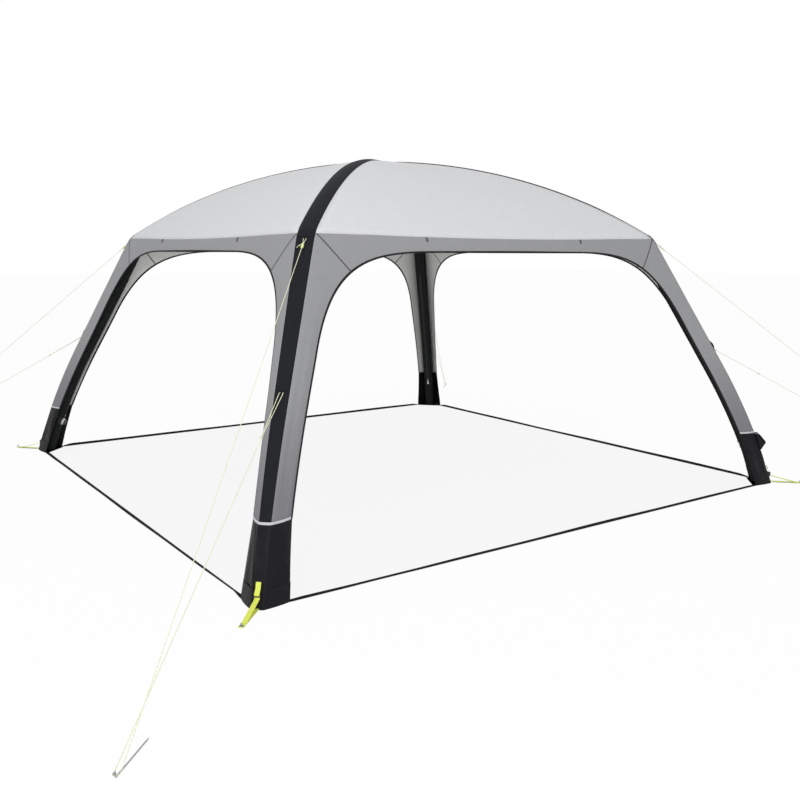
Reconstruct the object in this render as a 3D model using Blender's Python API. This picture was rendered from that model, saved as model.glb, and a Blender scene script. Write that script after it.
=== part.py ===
"""Open-sided air-beam shelter: two crossed inflated arches carry a four-sided canopy.

Metres, +Z up. The origin is the centre of the footprint on the ground, and the front faces -Y.
A leg is modelled once in its own upright plane, with r measured outwards along the diagonal and
t across it, and is then turned to each corner. A side is modelled once at -Y and turned likewise.
"""

import math

import bmesh
import bpy
from mathutils import Matrix, Vector

# Driving dimensions of the frame
SIDE = 4.0                # square of the perimeter straps
FOOT_OVERHANG = 0.012     # the leg's ridge stands this far outside the strap corner
EAVE_HALF = 1.375         # half the width of the canopy at its eave corners
EAVE_HEIGHT = 1.71
CROWN_HEIGHT = 2.245
EAVE_FILLET = 0.25        # bend radius of the beam where roof and leg meet
FOOT_TUCK = 0.115         # how far the strap pulls the foot in from the straight leg
TUCK_HEIGHT = 0.85        # the leg is straight above this height
BEAM_RADIUS = 0.0575
SLEEVE_WALL = 0.0015
BEAM_SIDES = 12
MITRE_ROOM = 1.5          # beam radii from the centre line to the first whole ring of a sleeve

# Fabric
FABRIC = 0.003
GAP = 0.0003
BAND_WIDTH_EAVE = 0.099
BAND_WIDTH_FOOT = 0.060
PATCH_LENGTH = 0.065
PATCH_THICKNESS = 0.002
PATCH_MARGIN = 0.002
PATCH_STEPS = 4
PANEL_SAG = 0.022         # drop of the eave line at the middle of a side
ROOF_COLUMNS = 10
ROOF_STATIONS = 9
LEG_STATIONS = 9
FILLET_STATIONS = 4
CROWN_MARGIN = 0.012      # flat stretch of the crown beyond the bands' crossing
MITRE_LIMIT = 0.5         # keeps the wall from growing too long across a sharp bend

# Arch openings
ARCH_DROP = 0.104         # from the eave corners down to the arch's flat top
ARCH_SPRING = 1.08        # height where the leg's edge starts to curve into the arch
ARCH_FLAT_HALF = 0.61     # half of the straight stretch at the arch's top
ARCH_LEG_PULL = 0.83      # fullness of the curve over the leg, as a share of the arch head's height
ARCH_TOP_PULL = 0.55      # the same at the top, as a share of the arch head's width
WING_FOOT = 0.191         # width of a leg panel at the ground, over the boot
WING_BOOT_TOP = 0.171
WING_SPRING = 0.197
SEAM_DROP = 0.21          # from the eave corners down to where the diagonal seam meets the arch edge
EDGE_TUCK = 0.040         # how far the tight free edge pulls the cloth in behind the beams' plane
EDGE_TUCK_HEIGHT = 0.71   # where it does so most; at the eave it is nothing
WING_COLUMNS = 3
LEG_PANEL_ROWS = 16
EAVE_PANEL_COLUMNS = 22
EDGE_BEND_SHARE = 0.45    # share of a leg panel's free edge that belongs to the arch's curve
EDGE_FLAT_SHARE = 0.3     # share of an eave panel's columns over the straight stretch

# Boots
BOOT_HEIGHT = 0.36
BOOT_WALL = 0.003
BOOT_BASE = 0.004
BOOT_SEAM = 0.0018        # clearance over the boot's top edge, more than the slant of the fabric's edge
HEM_HEIGHT = 0.085
HEM_PROUD = 0.0025
BASE_EDGE = 0.060         # straight end of the floor patch, where the strap is sewn

# Perimeter straps
STRAP_WIDTH = 0.025
STRAP_THICKNESS = 0.002
STRAP_BEVEL = 0.0005

# Pegs
PEG_WIRE = 0.003
PEG_BEND = 0.005
FOOT_PEG_LENGTH = 0.185
GUY_PEG_LENGTH = 0.230
HOOK_HEIGHT = 0.023
HOOK_REACH = 0.014
FOOT_PEG_REACH = 0.200    # from the leg's foot to its peg
GUY_PEG_REACH = 1.320     # from the leg's foot to the guy peg

# Peg straps and their ladder locks
WEBBING_WIDTH = 0.025
WEBBING_THICKNESS = 0.002
TONGUE_LENGTH = 0.032
TONGUE_TIP = 0.013
TONGUE_LAP = 0.002        # the upper layer starts this far behind the bend
TONGUE_NOTCH = 0.004      # and the lower one ends this far before it
EYELET_RADIUS = 0.0065
EYELET_CUT = 0.02         # half the height of the eyelet's cutter
BUCKLE_HEIGHT = 0.060
BUCKLE_DEPTH = 0.0085
BUCKLE_RAIL = 0.004
BAR_DEPTH = 0.0035
BAR_HEIGHT = 0.003
BAR_PITCH = 0.011
TAIL_TOP = 0.130
WEAVE_CLEARANCE = 0.0008  # between the webbing and the bars that it is woven round

# Guy lines
CORD_RADIUS = 0.00175
CORD_TURN = 0.010
CORD_RISE_RADIUS = 0.030
CORD_STEPS = 18           # points on the straight part of a run
EAVE_TAB_DROP = 0.022     # from the eave corner down to the root of its tab
CORD_SEAT = 0.004         # clearance between the cord at the peg and the lying shaft
LEG_TAB_HEIGHT = 0.945
TAB_LENGTH = 0.018
TAB_WIDTH = 0.016
TAB_THICKNESS = 0.004
RUNNER_LENGTH = 0.030
RUNNER_WIDTH = 0.013
RUNNER_THICKNESS = 0.008
RUNNER_BEVEL = 0.001
RUNNER_SHOULDER = 0.2     # share of its length from the middle to where it narrows
RUNNER_TIP = 0.28         # half width of its narrow end, as a share of its width
RUNNER_CLEARANCE = 0.0006
RUNNER_DISTANCE = 0.065   # from the eave tab's end to the runner's middle

# Inflation valve and boot flap
VALVE_HEIGHT = 0.285      # on the ridge; the valve itself sits lower, square across the beam
VALVE_FLANGE_RADIUS = 0.028
VALVE_NECK_RADIUS = 0.020
VALVE_BORE_RADIUS = 0.015
VALVE_NECK_LENGTH = 0.012
VALVE_FLANGE_LENGTH = 0.003
CAP_RADIUS = 0.022
CAP_LENGTH = 0.006
CAP_CHAMFER = 0.002
PLUNGER_RADIUS = 0.009
PLUNGER_SINK = 0.0015
POST_RADIUS = 0.003       # guide post in the bore, which the plunger slides on
POST_LENGTH = 0.005
PLUNGER_TRAVEL = 0.003
FLAP_HINGE_HEIGHT = 0.352
FLAP_SHOULDER = 0.030     # level part at the top of the flap
FLAP_REACH = 0.077
FLAP_DROP = 0.055
FLAP_RETURN = 0.055
FLAP_WIDTH = 0.080

LEGS = {"front_left": 225, "front_right": 315, "rear_right": 45, "rear_left": 135}
SIDES = {"front": 0, "right": 90, "rear": 180, "left": 270}
ROOT2 = math.sqrt(2)


# Profile of the ridge in the upright plane of a leg

FOOT_RIDGE = SIDE / ROOT2 + FOOT_OVERHANG
EAVE_RIDGE = EAVE_HALF * ROOT2
ROOF_RISE = CROWN_HEIGHT - EAVE_HEIGHT
ROOF_RADIUS = (EAVE_RIDGE ** 2 + ROOF_RISE ** 2) / (2 * ROOF_RISE)
LEG_SLOPE = (FOOT_RIDGE + FOOT_TUCK - EAVE_RIDGE) / EAVE_HEIGHT
CROWN_FLAT = BAND_WIDTH_EAVE / 2 + CROWN_MARGIN
ARCH_TOP = EAVE_HEIGHT - ARCH_DROP
SEAM_FOOT_HEIGHT = EAVE_HEIGHT - SEAM_DROP
EAVE_TAB_HEIGHT = EAVE_HEIGHT - EAVE_TAB_DROP
CORD_HEIGHT = 2 * PEG_WIRE + CORD_RADIUS + CORD_SEAT


def leg_ridge(z):
    """Distance of the ridge from the centre line at a height on the leg."""
    r = EAVE_RIDGE + LEG_SLOPE * (EAVE_HEIGHT - z)
    if z < TUCK_HEIGHT:
        r -= FOOT_TUCK * ((TUCK_HEIGHT - z) / TUCK_HEIGHT) ** 2
    return r


def roof_ridge(r):
    """Height of the ridge over a distance from the centre line."""
    return CROWN_HEIGHT - ROOF_RADIUS + math.sqrt(ROOF_RADIUS ** 2 - r * r)


def ridge_stations():
    """Points from the crown to the ground, and the index of the eave fold and of the boot's top."""
    roof_angle = math.asin(EAVE_RIDGE / ROOF_RADIUS)
    leg_angle = math.atan2(1, LEG_SLOPE)
    turn = leg_angle - roof_angle
    tangent = EAVE_FILLET * math.tan(turn / 2)
    uphill = Vector((-math.cos(roof_angle), math.sin(roof_angle)))
    start = Vector((EAVE_RIDGE, EAVE_HEIGHT)) + tangent * uphill
    centre = start + EAVE_FILLET * Vector((-math.sin(roof_angle), -math.cos(roof_angle)))
    points = [Vector((0, CROWN_HEIGHT))]
    for i in range(ROOF_STATIONS):
        r = CROWN_FLAT + (start.x - CROWN_FLAT) * i / ROOF_STATIONS
        points.append(Vector((r, roof_ridge(r))))
    for i in range(FILLET_STATIONS + 1):
        angle = roof_angle + turn * i / FILLET_STATIONS
        points.append(centre + EAVE_FILLET * Vector((math.sin(angle), math.cos(angle))))
    eave = len(points) - 1 - FILLET_STATIONS // 2
    top = points[-1].y
    for i in range(1, LEG_STATIONS + 1):
        z = top + (BOOT_HEIGHT - top) * i / LEG_STATIONS
        points.append(Vector((leg_ridge(z), z)))
    boot = len(points) - 1
    for i in (2, 1, 0):
        z = BOOT_HEIGHT * i / 3
        points.append(Vector((leg_ridge(z), z)))
    return points, eave, boot


def normals(points):
    """Unit vectors across a line of points, on its inner side, long enough to keep the wall even."""
    result = []
    for i, point in enumerate(points):
        before = (point - points[max(i - 1, 0)]).normalized()
        after = (points[min(i + 1, len(points) - 1)] - point).normalized()
        mean = (before + after).normalized()
        side = before if before.length else after
        inward = Vector((-abs(mean.y), mean.x if mean.x < 0 else -mean.x))
        result.append(inward / max(mean.dot(side), MITRE_LIMIT))
    return result


RIDGE, EAVE_STATION, BOOT_STATION = ridge_stations()
RIDGE_NORMALS = normals(RIDGE)


def band_width(z):
    """Width of the black band at a height: even on the roof, tapering down the leg."""
    share = min(max((z - BOOT_HEIGHT) / (EAVE_HEIGHT - BOOT_HEIGHT), 0), 1)
    return BAND_WIDTH_FOOT + (BAND_WIDTH_EAVE - BAND_WIDTH_FOOT) * share


def side_profile():
    """The same stations seen from the side: distance of the panels' plane from the centre, and height."""
    outer = []
    for point in RIDGE:
        outer.append(Vector(((point.x + band_width(point.y) / 2) / ROOT2, point.y)))
    inner = []
    for point, normal in zip(outer, normals(outer)):
        inner.append(point + normal * FABRIC)
    return outer, inner


SIDE_OUTER, SIDE_INNER = side_profile()


def along(points, station):
    """Point on a line of points at a fractional station."""
    i = min(int(station), len(points) - 2)
    return points[i].lerp(points[i + 1], station - i)


def station_of(z):
    """Station of a height on the leg or the eave."""
    i = 1
    while i < len(RIDGE) - 2 and RIDGE[i + 1].y > z:
        i += 1
    return i + (RIDGE[i].y - z) / (RIDGE[i].y - RIDGE[i + 1].y)


def half_width(profile, station):
    """Half the width of a side between the two bands that bound it."""
    z = along(RIDGE, station).y
    return along(profile, station).x - ROOT2 * (band_width(z) / 2 + GAP)


def skin(share, station, inner):
    """Point of the side at -Y: share runs from -1 at the left band to 1 at the right band."""
    profile = SIDE_INNER if inner else SIDE_OUTER
    point = along(profile, station)
    outer_point = along(SIDE_OUTER, station)
    if outer_point.y > EAVE_HEIGHT or station <= EAVE_STATION:
        sag = PANEL_SAG * (outer_point.x / SIDE_OUTER[EAVE_STATION].x) ** 2
    else:
        fall = (outer_point.y - SEAM_FOOT_HEIGHT) / (SIDE_OUTER[EAVE_STATION].y - SEAM_FOOT_HEIGHT)
        sag = PANEL_SAG * max(fall, 0)
    return Vector((share * half_width(profile, station), -point.x, point.y - sag * (1 - share * share)))


def skin_at(x, z, inner, tuck=0.0):
    """Point of the side at -Y over a place given on its outer face, moved in by a tuck."""
    station = station_of(z)
    return skin(x / half_width(SIDE_OUTER, station), station, inner) + Vector((0, tuck, 0))


def edge_tuck(z):
    """How far the free edge lies behind the beams' plane at a height."""
    return EDGE_TUCK * max(1 - ((z - EDGE_TUCK_HEIGHT) / (EAVE_HEIGHT - EDGE_TUCK_HEIGHT)) ** 2, 0)


def unsagged(point):
    """Place that comes down on a point of the arch once the panel has sagged."""
    share = point.x / half_width(SIDE_OUTER, station_of(point.y))
    drop = PANEL_SAG / (SIDE_OUTER[EAVE_STATION].y - SEAM_FOOT_HEIGHT) * (1 - share * share)
    return Vector((point.x, (point.y - drop * SEAM_FOOT_HEIGHT) / (1 - drop)))


# Mesh helpers

def material(name, colour, roughness, metallic=0.0):
    """Principled material from an sRGB colour in hex."""
    made = bpy.data.materials.new(name)
    made.use_nodes = True
    shader = made.node_tree.nodes["Principled BSDF"]
    parts = [int(colour[i:i + 2], 16) / 255 for i in (1, 3, 5)]
    linear = [(part / 12.92) if part <= 0.04045 else ((part + 0.055) / 1.055) ** 2.4 for part in parts]
    shader.inputs["Base Color"].default_value = (*linear, 1)
    shader.inputs["Roughness"].default_value = roughness
    shader.inputs["Metallic"].default_value = metallic
    return made


def finish_mesh(name, bm, smooth_angle=30):
    """Closes a bmesh into a mesh with its faces outwards."""
    bmesh.ops.recalc_face_normals(bm, faces=bm.faces)
    mesh = bpy.data.meshes.new(name)
    bm.to_mesh(mesh)
    bm.free()
    mesh.shade_smooth()
    mesh.set_sharp_from_angle(angle=math.radians(smooth_angle))
    return mesh


def add(name, mesh, paint, angle=0.0, location=(0, 0, 0), turn=None):
    """Places a mesh as a named part, turned about the vertical."""
    if not mesh.materials:
        mesh.materials.append(paint)
    part = bpy.data.objects.new(name, mesh)
    bpy.context.collection.objects.link(part)
    rotation = Matrix.Rotation(math.radians(angle), 4, "Z")
    part.matrix_world = rotation @ Matrix.Translation(location) @ (turn or Matrix.Identity(4))
    return part


def sheet(name, outer, inner):
    """Solid between two grids of points: rows of equal length, one lying under the other."""
    bm = bmesh.new()
    rows = []
    for grid in (outer, inner):
        rows.append([[bm.verts.new(point) for point in row] for row in grid])
    top, under = rows
    last_row = len(outer) - 1
    last_column = len(outer[0]) - 1
    for i in range(last_row):
        for j in range(last_column):
            bm.faces.new((top[i][j], top[i][j + 1], top[i + 1][j + 1], top[i + 1][j]))
            bm.faces.new((under[i][j], under[i + 1][j], under[i + 1][j + 1], under[i][j + 1]))
    for j in range(last_column):
        bm.faces.new((top[0][j], under[0][j], under[0][j + 1], top[0][j + 1]))
        bm.faces.new((top[-1][j], top[-1][j + 1], under[-1][j + 1], under[-1][j]))
    for i in range(last_row):
        bm.faces.new((top[i][0], top[i + 1][0], under[i + 1][0], under[i][0]))
        bm.faces.new((top[i][-1], under[i][-1], under[i + 1][-1], top[i + 1][-1]))
    return finish_mesh(name, bm)


def loft(name, rings):
    """Closed skin over rings of points."""
    bm = bmesh.new()
    verts = [[bm.verts.new(point) for point in ring] for ring in rings]
    count = len(rings[0])
    for first, second in zip(verts, verts[1:]):
        for j in range(count):
            bm.faces.new((first[j], first[(j + 1) % count], second[(j + 1) % count], second[j]))
    bm.faces.new(verts[0])
    bm.faces.new(list(reversed(verts[-1])))
    return finish_mesh(name, bm)


def prism(name, outline, half_depth):
    """Solid of an outline in the r-z plane, extruded to both sides of it."""
    bm = bmesh.new()
    face = bm.faces.new([bm.verts.new((r, -half_depth, z)) for r, z in outline])
    moved = bmesh.ops.extrude_face_region(bm, geom=[face])["geom"]
    verts = [item for item in moved if isinstance(item, bmesh.types.BMVert)]
    bmesh.ops.translate(bm, verts=verts, vec=(0, 2 * half_depth, 0))
    return finish_mesh(name, bm)


def block(bm, size, matrix, bevel):
    """Adds a box with rounded edges to a bmesh."""
    made = bmesh.ops.create_cube(bm, size=1, matrix=matrix @ Matrix.Diagonal((*size, 1)))
    edges = {edge for vert in made["verts"] for edge in vert.link_edges}
    if bevel:
        bmesh.ops.bevel(bm, geom=list(edges), offset=bevel, segments=1, profile=0.5, affect="EDGES",
                        material=-1)


def cutter(name, mesh, matrix=None):
    """A shape that only cuts or joins: it is no part of the shelter."""
    shape = bpy.data.objects.new(name, mesh)
    bpy.context.collection.objects.link(shape)
    shape.matrix_world = matrix or Matrix.Identity(4)
    shape.hide_render = True
    shape.display_type = "WIRE"
    return shape


def combine(part, shape, operation):
    """Boolean modifier on a part."""
    modifier = part.modifiers.new(operation.lower(), "BOOLEAN")
    modifier.operation = operation
    modifier.solver = "EXACT"
    modifier.object = shape


def turned(name, profile, sides):
    """Solid of revolution about Z from a profile of radius and height."""
    bm = bmesh.new()
    verts = [bm.verts.new((radius, 0, z)) for radius, z in profile]
    edges = [bm.edges.new(pair) for pair in zip(verts, verts[1:])]
    bmesh.ops.spin(bm, geom=verts + edges, cent=(0, 0, 0), axis=(0, 0, 1), angle=math.tau,
                   steps=sides, use_merge=True)
    bmesh.ops.remove_doubles(bm, verts=bm.verts, dist=1e-6)
    return finish_mesh(name, bm)


def wire_curve(name, points, radius, resolution):
    """Round wire or cord along points."""
    curve = bpy.data.curves.new(name, "CURVE")
    curve.dimensions = "3D"
    curve.bevel_depth = radius
    curve.bevel_resolution = resolution
    curve.use_fill_caps = True
    spline = curve.splines.new("POLY")
    spline.points.add(len(points) - 1)
    for target, point in zip(spline.points, points):
        target.co = (*point, 1)
    return curve


def offset_line(points, distance):
    """A line of points in a plane, moved sideways by a distance."""
    result = []
    for i, point in enumerate(points):
        before = (point - points[i - 1]).normalized() if i else None
        after = (points[i + 1] - point).normalized() if i < len(points) - 1 else None
        first = before or after
        second = after or before
        mean = (first + second).normalized()
        across = Vector((-mean.y, mean.x))
        result.append(point + across * distance / mean.dot(first))
    return result


def clear_scene():
    for item in list(bpy.data.objects):
        bpy.data.objects.remove(item, do_unlink=True)


# Canopy: roof panels, eave panels and leg panels

def arch_curve(t):
    """Head of the arch from its spring line to the flat top, as a cubic curve in x and z."""
    spring_x = along(SIDE_OUTER, station_of(ARCH_SPRING)).x - WING_SPRING
    foot_x = along(SIDE_OUTER, station_of(BOOT_HEIGHT)).x - WING_BOOT_TOP
    lean = (foot_x - spring_x) / (ARCH_SPRING - BOOT_HEIGHT)
    a = Vector((spring_x, ARCH_SPRING))
    b = a + Vector((-lean, 1)) * ARCH_LEG_PULL * (ARCH_TOP - ARCH_SPRING)
    d = Vector((ARCH_FLAT_HALF, ARCH_TOP))
    c = d + Vector((ARCH_TOP_PULL * (spring_x - ARCH_FLAT_HALF), 0))
    s = 1 - t
    return a * s ** 3 + b * 3 * s * s * t + c * 3 * s * t * t + d * t ** 3


def seam_parameter():
    """Place on the arch's curve where the diagonal seam ends."""
    low, high = 0.0, 1.0
    while high - low > 1e-6:
        middle = (low + high) / 2
        if arch_curve(middle).y < SEAM_FOOT_HEIGHT:
            low = middle
        else:
            high = middle
    return low


SEAM = seam_parameter()


def wing_width(z):
    """Width of a leg panel or a boot wing at a height below the spring line."""
    if z < BOOT_HEIGHT:
        return WING_FOOT + (WING_BOOT_TOP - WING_FOOT) * z / BOOT_HEIGHT
    return WING_BOOT_TOP + (WING_SPRING - WING_BOOT_TOP) * (z - BOOT_HEIGHT) / (ARCH_SPRING - BOOT_HEIGHT)


def arch_edge(share):
    """Free edge of a leg panel, from the diagonal seam at 0 down to the boot at 1."""
    if share < EDGE_BEND_SHARE:
        return arch_curve(SEAM * (1 - share / EDGE_BEND_SHARE))
    fall = (share - EDGE_BEND_SHARE) / (1 - EDGE_BEND_SHARE)
    z = ARCH_SPRING + (BOOT_HEIGHT + BOOT_SEAM - ARCH_SPRING) * fall
    return Vector((along(SIDE_OUTER, station_of(z)).x - wing_width(z), z))


def roof_panel_mesh():
    """Gore between two ridges, from the crossing bands at the crown to the eave fold."""
    length = (RIDGE[EAVE_STATION] - RIDGE[EAVE_STATION - 1]).length
    stations = list(range(1, EAVE_STATION)) + [EAVE_STATION - GAP / length]
    shares = [2 * j / ROOF_COLUMNS - 1 for j in range(ROOF_COLUMNS + 1)]
    outer = [[skin(share, station, False) for share in shares] for station in stations]
    inner = [[skin(share, station, True) for share in shares] for station in stations]
    return sheet("roof_panel", outer, inner)


def eave_panel_mesh():
    """Valance between the two diagonal seams, from the eave fold down to the arch's head."""
    corner = half_width(SIDE_OUTER, EAVE_STATION)
    top_z = RIDGE[EAVE_STATION].y - GAP
    shares = [2 * j / EAVE_PANEL_COLUMNS - 1 for j in range(EAVE_PANEL_COLUMNS + 1)]
    edge = []
    for share in shares:
        if abs(share) < EDGE_FLAT_SHARE:
            point = Vector((ARCH_FLAT_HALF * abs(share) / EDGE_FLAT_SHARE, ARCH_TOP))
        else:
            point = arch_curve(1 - (abs(share) - EDGE_FLAT_SHARE) / (1 - EDGE_FLAT_SHARE) * (1 - SEAM))
        edge.append(Vector((math.copysign(point.x, share), point.y)))
    outer, inner = [], []
    for i in range(WING_COLUMNS + 1):
        drop = i / WING_COLUMNS
        for grid, under in ((outer, False), (inner, True)):
            row = []
            for share, point in zip(shares, edge):
                top = Vector((share * (corner - 3 * GAP), top_z))
                place = top.lerp(unsagged(point) - Vector((math.copysign(GAP, share), 0)), drop)
                row.append(skin_at(place.x, place.y, under, edge_tuck(point.y) * drop ** 2))
            grid.append(row)
    return sheet("eave_panel", outer, inner)


def leg_panel_mesh(sign):
    """Wing of a leg on the side at -Y: the left end with sign -1, the right end with 1."""
    top_z = RIDGE[EAVE_STATION].y - 3 * GAP
    outer, inner = [], []
    for i in range(LEG_PANEL_ROWS + 1):
        share = i / LEG_PANEL_ROWS
        free = arch_edge(share) + Vector((GAP, -GAP)) * (1 if share == 0 else 0)
        z = top_z + (BOOT_HEIGHT + BOOT_SEAM - top_z) * share
        band_edge = Vector((half_width(SIDE_OUTER, station_of(z)), z))
        for grid, under in ((outer, False), (inner, True)):
            row = []
            for j in range(WING_COLUMNS + 1):
                across = j / WING_COLUMNS
                place = band_edge.lerp(free, across)
                row.append(skin_at(sign * place.x, place.y, under, edge_tuck(free.y) * across ** 2))
            grid.append(row)
    return sheet("leg_panel", outer, inner)


def build_canopy():
    roof = material("roof_polyester", "#d3d4d6", 0.75)
    wall = material("wall_polyester", "#8c8c8f", 0.75)
    roof_mesh = roof_panel_mesh()
    eave_mesh = eave_panel_mesh()
    wings = {-1: leg_panel_mesh(-1), 1: leg_panel_mesh(1)}
    for side, angle in SIDES.items():
        add(f"roof_panel_{side}", roof_mesh, roof, angle)
        add(f"eave_panel_{side}", eave_mesh, wall, angle)
        for sign, mesh in wings.items():
            add(f"leg_panel_{side}_{'left' if sign < 0 else 'right'}", mesh, wall, angle)


# Black bands over the beams, with patches and guy tabs

def guy_apex():
    """Middle of the cord's turn round the guy peg."""
    return Vector((FOOT_RIDGE + GUY_PEG_REACH + PEG_WIRE + GAP + CORD_RADIUS - CORD_TURN, CORD_HEIGHT))


def tab_frame(z):
    """Root of a guy tab on the band and the direction that its line pulls in."""
    root = along(RIDGE, station_of(z))
    return root, (guy_apex() - root).normalized()


def leg_matrix(root, direction):
    """Matrix that lays X along a direction in the r-z plane."""
    along_x = Vector((direction.x, 0, direction.y))
    across = Vector((0, 1, 0))
    upward = along_x.cross(across)
    matrix = Matrix((along_x, across, upward)).transposed().to_4x4()
    matrix.translation = (root.x, 0, root.y)
    return matrix


def band_mesh(raised):
    """Strip over one beam from boot to boot. The raised one passes over the other at the crown."""
    lift = FABRIC + GAP + CROWN_HEIGHT - roof_ridge(CROWN_FLAT) if raised else 0
    rings = []
    stations = [-i for i in range(BOOT_STATION, 0, -1)] + list(range(BOOT_STATION + 1))
    for signed in stations:
        i = abs(signed)
        mirror = -1 if signed < 0 else 1
        point = RIDGE[i]
        normal = RIDGE_NORMALS[i] if i else Vector((0, -1))
        half = band_width(point.y) / 2
        outer = point - normal * lift if i <= 1 else point
        inner = outer + normal * FABRIC
        if i == BOOT_STATION:
            outer = outer + Vector((0, BOOT_SEAM))
            inner = inner + Vector((0, BOOT_SEAM))
        rings.append([(mirror * outer.x, -half, outer.y), (mirror * outer.x, half, outer.y),
                      (mirror * inner.x, half, inner.y), (mirror * inner.x, -half, inner.y)])
    return loft("outer_band", rings)


def band_tabs_mesh():
    """Webbing tabs for the guy lines, on both legs of a band."""
    bm = bmesh.new()
    for mirror in (0, 180):
        turn = Matrix.Rotation(math.radians(mirror), 4, "Z")
        for z in (EAVE_TAB_HEIGHT, LEG_TAB_HEIGHT):
            root, pull = tab_frame(z)
            centre = root + pull * (TAB_LENGTH - FABRIC) / 2
            block(bm, (TAB_LENGTH + FABRIC, TAB_WIDTH, TAB_THICKNESS), turn @ leg_matrix(centre, pull), 0)
    return finish_mesh("band_tabs", bm)


def ridge_above(z, reach):
    """Point of the ridge at a length up the beam from a height, with its outward normal."""
    station = station_of(z)
    left = reach
    i = int(station)
    point = along(RIDGE, station)
    while (point - RIDGE[i]).length < left:
        left -= (point - RIDGE[i]).length
        point = RIDGE[i]
        i -= 1
    point = point + (RIDGE[i] - point).normalized() * left
    passed = (point - RIDGE[i]).length / (RIDGE[i + 1] - RIDGE[i]).length
    return point, -RIDGE_NORMALS[i].lerp(RIDGE_NORMALS[i + 1], passed).normalized()


def band_patch_mesh(z, angle):
    """Reinforcing patch over the root of a guy tab: it follows the band up from the tab."""
    half = band_width(z) / 2 - PATCH_MARGIN
    rings = []
    for i in range(PATCH_STEPS + 1):
        point, outward = ridge_above(z, PATCH_LENGTH * i / PATCH_STEPS)
        over = point + outward * PATCH_THICKNESS
        under = point - outward * FABRIC / 2
        rings.append([(over.x, -half, over.y), (over.x, half, over.y),
                      (under.x, half, under.y), (under.x, -half, under.y)])
    mesh = loft("band_patch", rings)
    mesh.transform(Matrix.Rotation(math.radians(angle), 4, "Z"))
    return mesh


def build_bands():
    black = material("band_oxford", "#26272b", 0.7)
    patches = {}
    for z in (EAVE_TAB_HEIGHT, LEG_TAB_HEIGHT):
        for angle in (0, 180):
            patches[len(patches)] = band_patch_mesh(z, angle)
    tabs = band_tabs_mesh()
    for name, leg, raised in (("outer_band_left_front", "front_left", True),
                              ("outer_band_right_front", "front_right", False)):
        part = add(name, band_mesh(raised), black, LEGS[leg])
        for number, patch in patches.items():
            combine(part, cutter(f"{name}_patch_{number}", patch, part.matrix_world.copy()), "UNION")
        combine(part, cutter(f"{name}_tabs", tabs, part.matrix_world.copy()), "UNION")


# Air beams: sleeves and the bladder inside

def beam_path():
    """Middle of the beam from the crown to the ground, one beam radius under the band."""
    depth = FABRIC + GAP + BEAM_RADIUS
    return [point + normal * depth for point, normal in zip(RIDGE, RIDGE_NORMALS)]


def beam_ring(i, path, radius):
    """Ring of points round the beam at a station."""
    normal = RIDGE_NORMALS[i].normalized()
    ring = []
    for k in range(BEAM_SIDES):
        angle = math.tau * k / BEAM_SIDES
        side = path[i] - normal * radius * math.cos(angle)
        ring.append(Vector((side.x, radius * math.sin(angle), side.y)))
    return ring


def cut_ring(ring, path, height):
    """Moves the beam's last ring along the beam to a level plane."""
    direction = (path[-1] - path[-2]).normalized()
    result = []
    for point in ring:
        reach = (height - point.z) / direction.y
        result.append(Vector((point.x + direction.x * reach, point.y, height)))
    return result


def crown_ring(ring, following):
    """Moves the crown's ring along the beam to the mitre between neighbouring beams."""
    result = []
    for point, other in zip(ring, following):
        result.append(point.lerp(other, (abs(point.y) + 2 * ROOT2 * GAP) / other.x))
    return result


def sleeve_mesh():
    """Fabric tube closed at the foot and mitred at the crown."""
    path = beam_path()
    path[0] = Vector((0, path[0].y))
    first = next(i for i, point in enumerate(path) if point.x > MITRE_ROOM * BEAM_RADIUS)
    inner_radius = BEAM_RADIUS - SLEEVE_WALL
    floor = BOOT_BASE + GAP
    outside = [crown_ring(beam_ring(0, path, BEAM_RADIUS), beam_ring(first, path, BEAM_RADIUS))]
    inside = [crown_ring(beam_ring(0, path, inner_radius), beam_ring(first, path, inner_radius))]
    for i in range(first, len(path) - 1):
        outside.append(beam_ring(i, path, BEAM_RADIUS))
        inside.append(beam_ring(i, path, inner_radius))
    outside.append(cut_ring(beam_ring(len(path) - 1, path, BEAM_RADIUS), path, floor))
    inside.append(cut_ring(beam_ring(len(path) - 1, path, inner_radius), path, floor + SLEEVE_WALL))
    bm = bmesh.new()
    outer = [[bm.verts.new(point) for point in ring] for ring in outside]
    inner = [[bm.verts.new(point) for point in ring] for ring in inside]
    for rings in (outer, inner):
        for lower, upper in zip(rings, rings[1:]):
            for k in range(BEAM_SIDES):
                following = (k + 1) % BEAM_SIDES
                bm.faces.new((lower[k], lower[following], upper[following], upper[k]))
        bm.faces.new(rings[-1])
    for k in range(BEAM_SIDES):
        following = (k + 1) % BEAM_SIDES
        bm.faces.new((outer[0][k], outer[0][following], inner[0][following], inner[0][k]))
    return finish_mesh("beam_sleeve", bm, 40)


def bladder_mesh():
    """One inflated arch from foot to foot, inside its sleeves."""
    path = beam_path()
    path[0] = Vector((0, path[0].y))
    radius = BEAM_RADIUS - SLEEVE_WALL - 2 * GAP
    last = len(path) - 1
    first = next(i for i, point in enumerate(path) if point.x > MITRE_ROOM * BEAM_RADIUS)
    half = [beam_ring(i, path, radius) for i in range(first, last)]
    half.append(cut_ring(beam_ring(last, path, radius), path, BOOT_BASE + 2 * GAP + SLEEVE_WALL))
    mirrored = [[Vector((-point.x, point.y, point.z)) for point in ring] for ring in half]
    return loft("air_bladder", mirrored[::-1] + [beam_ring(0, path, radius)] + half)


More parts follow.
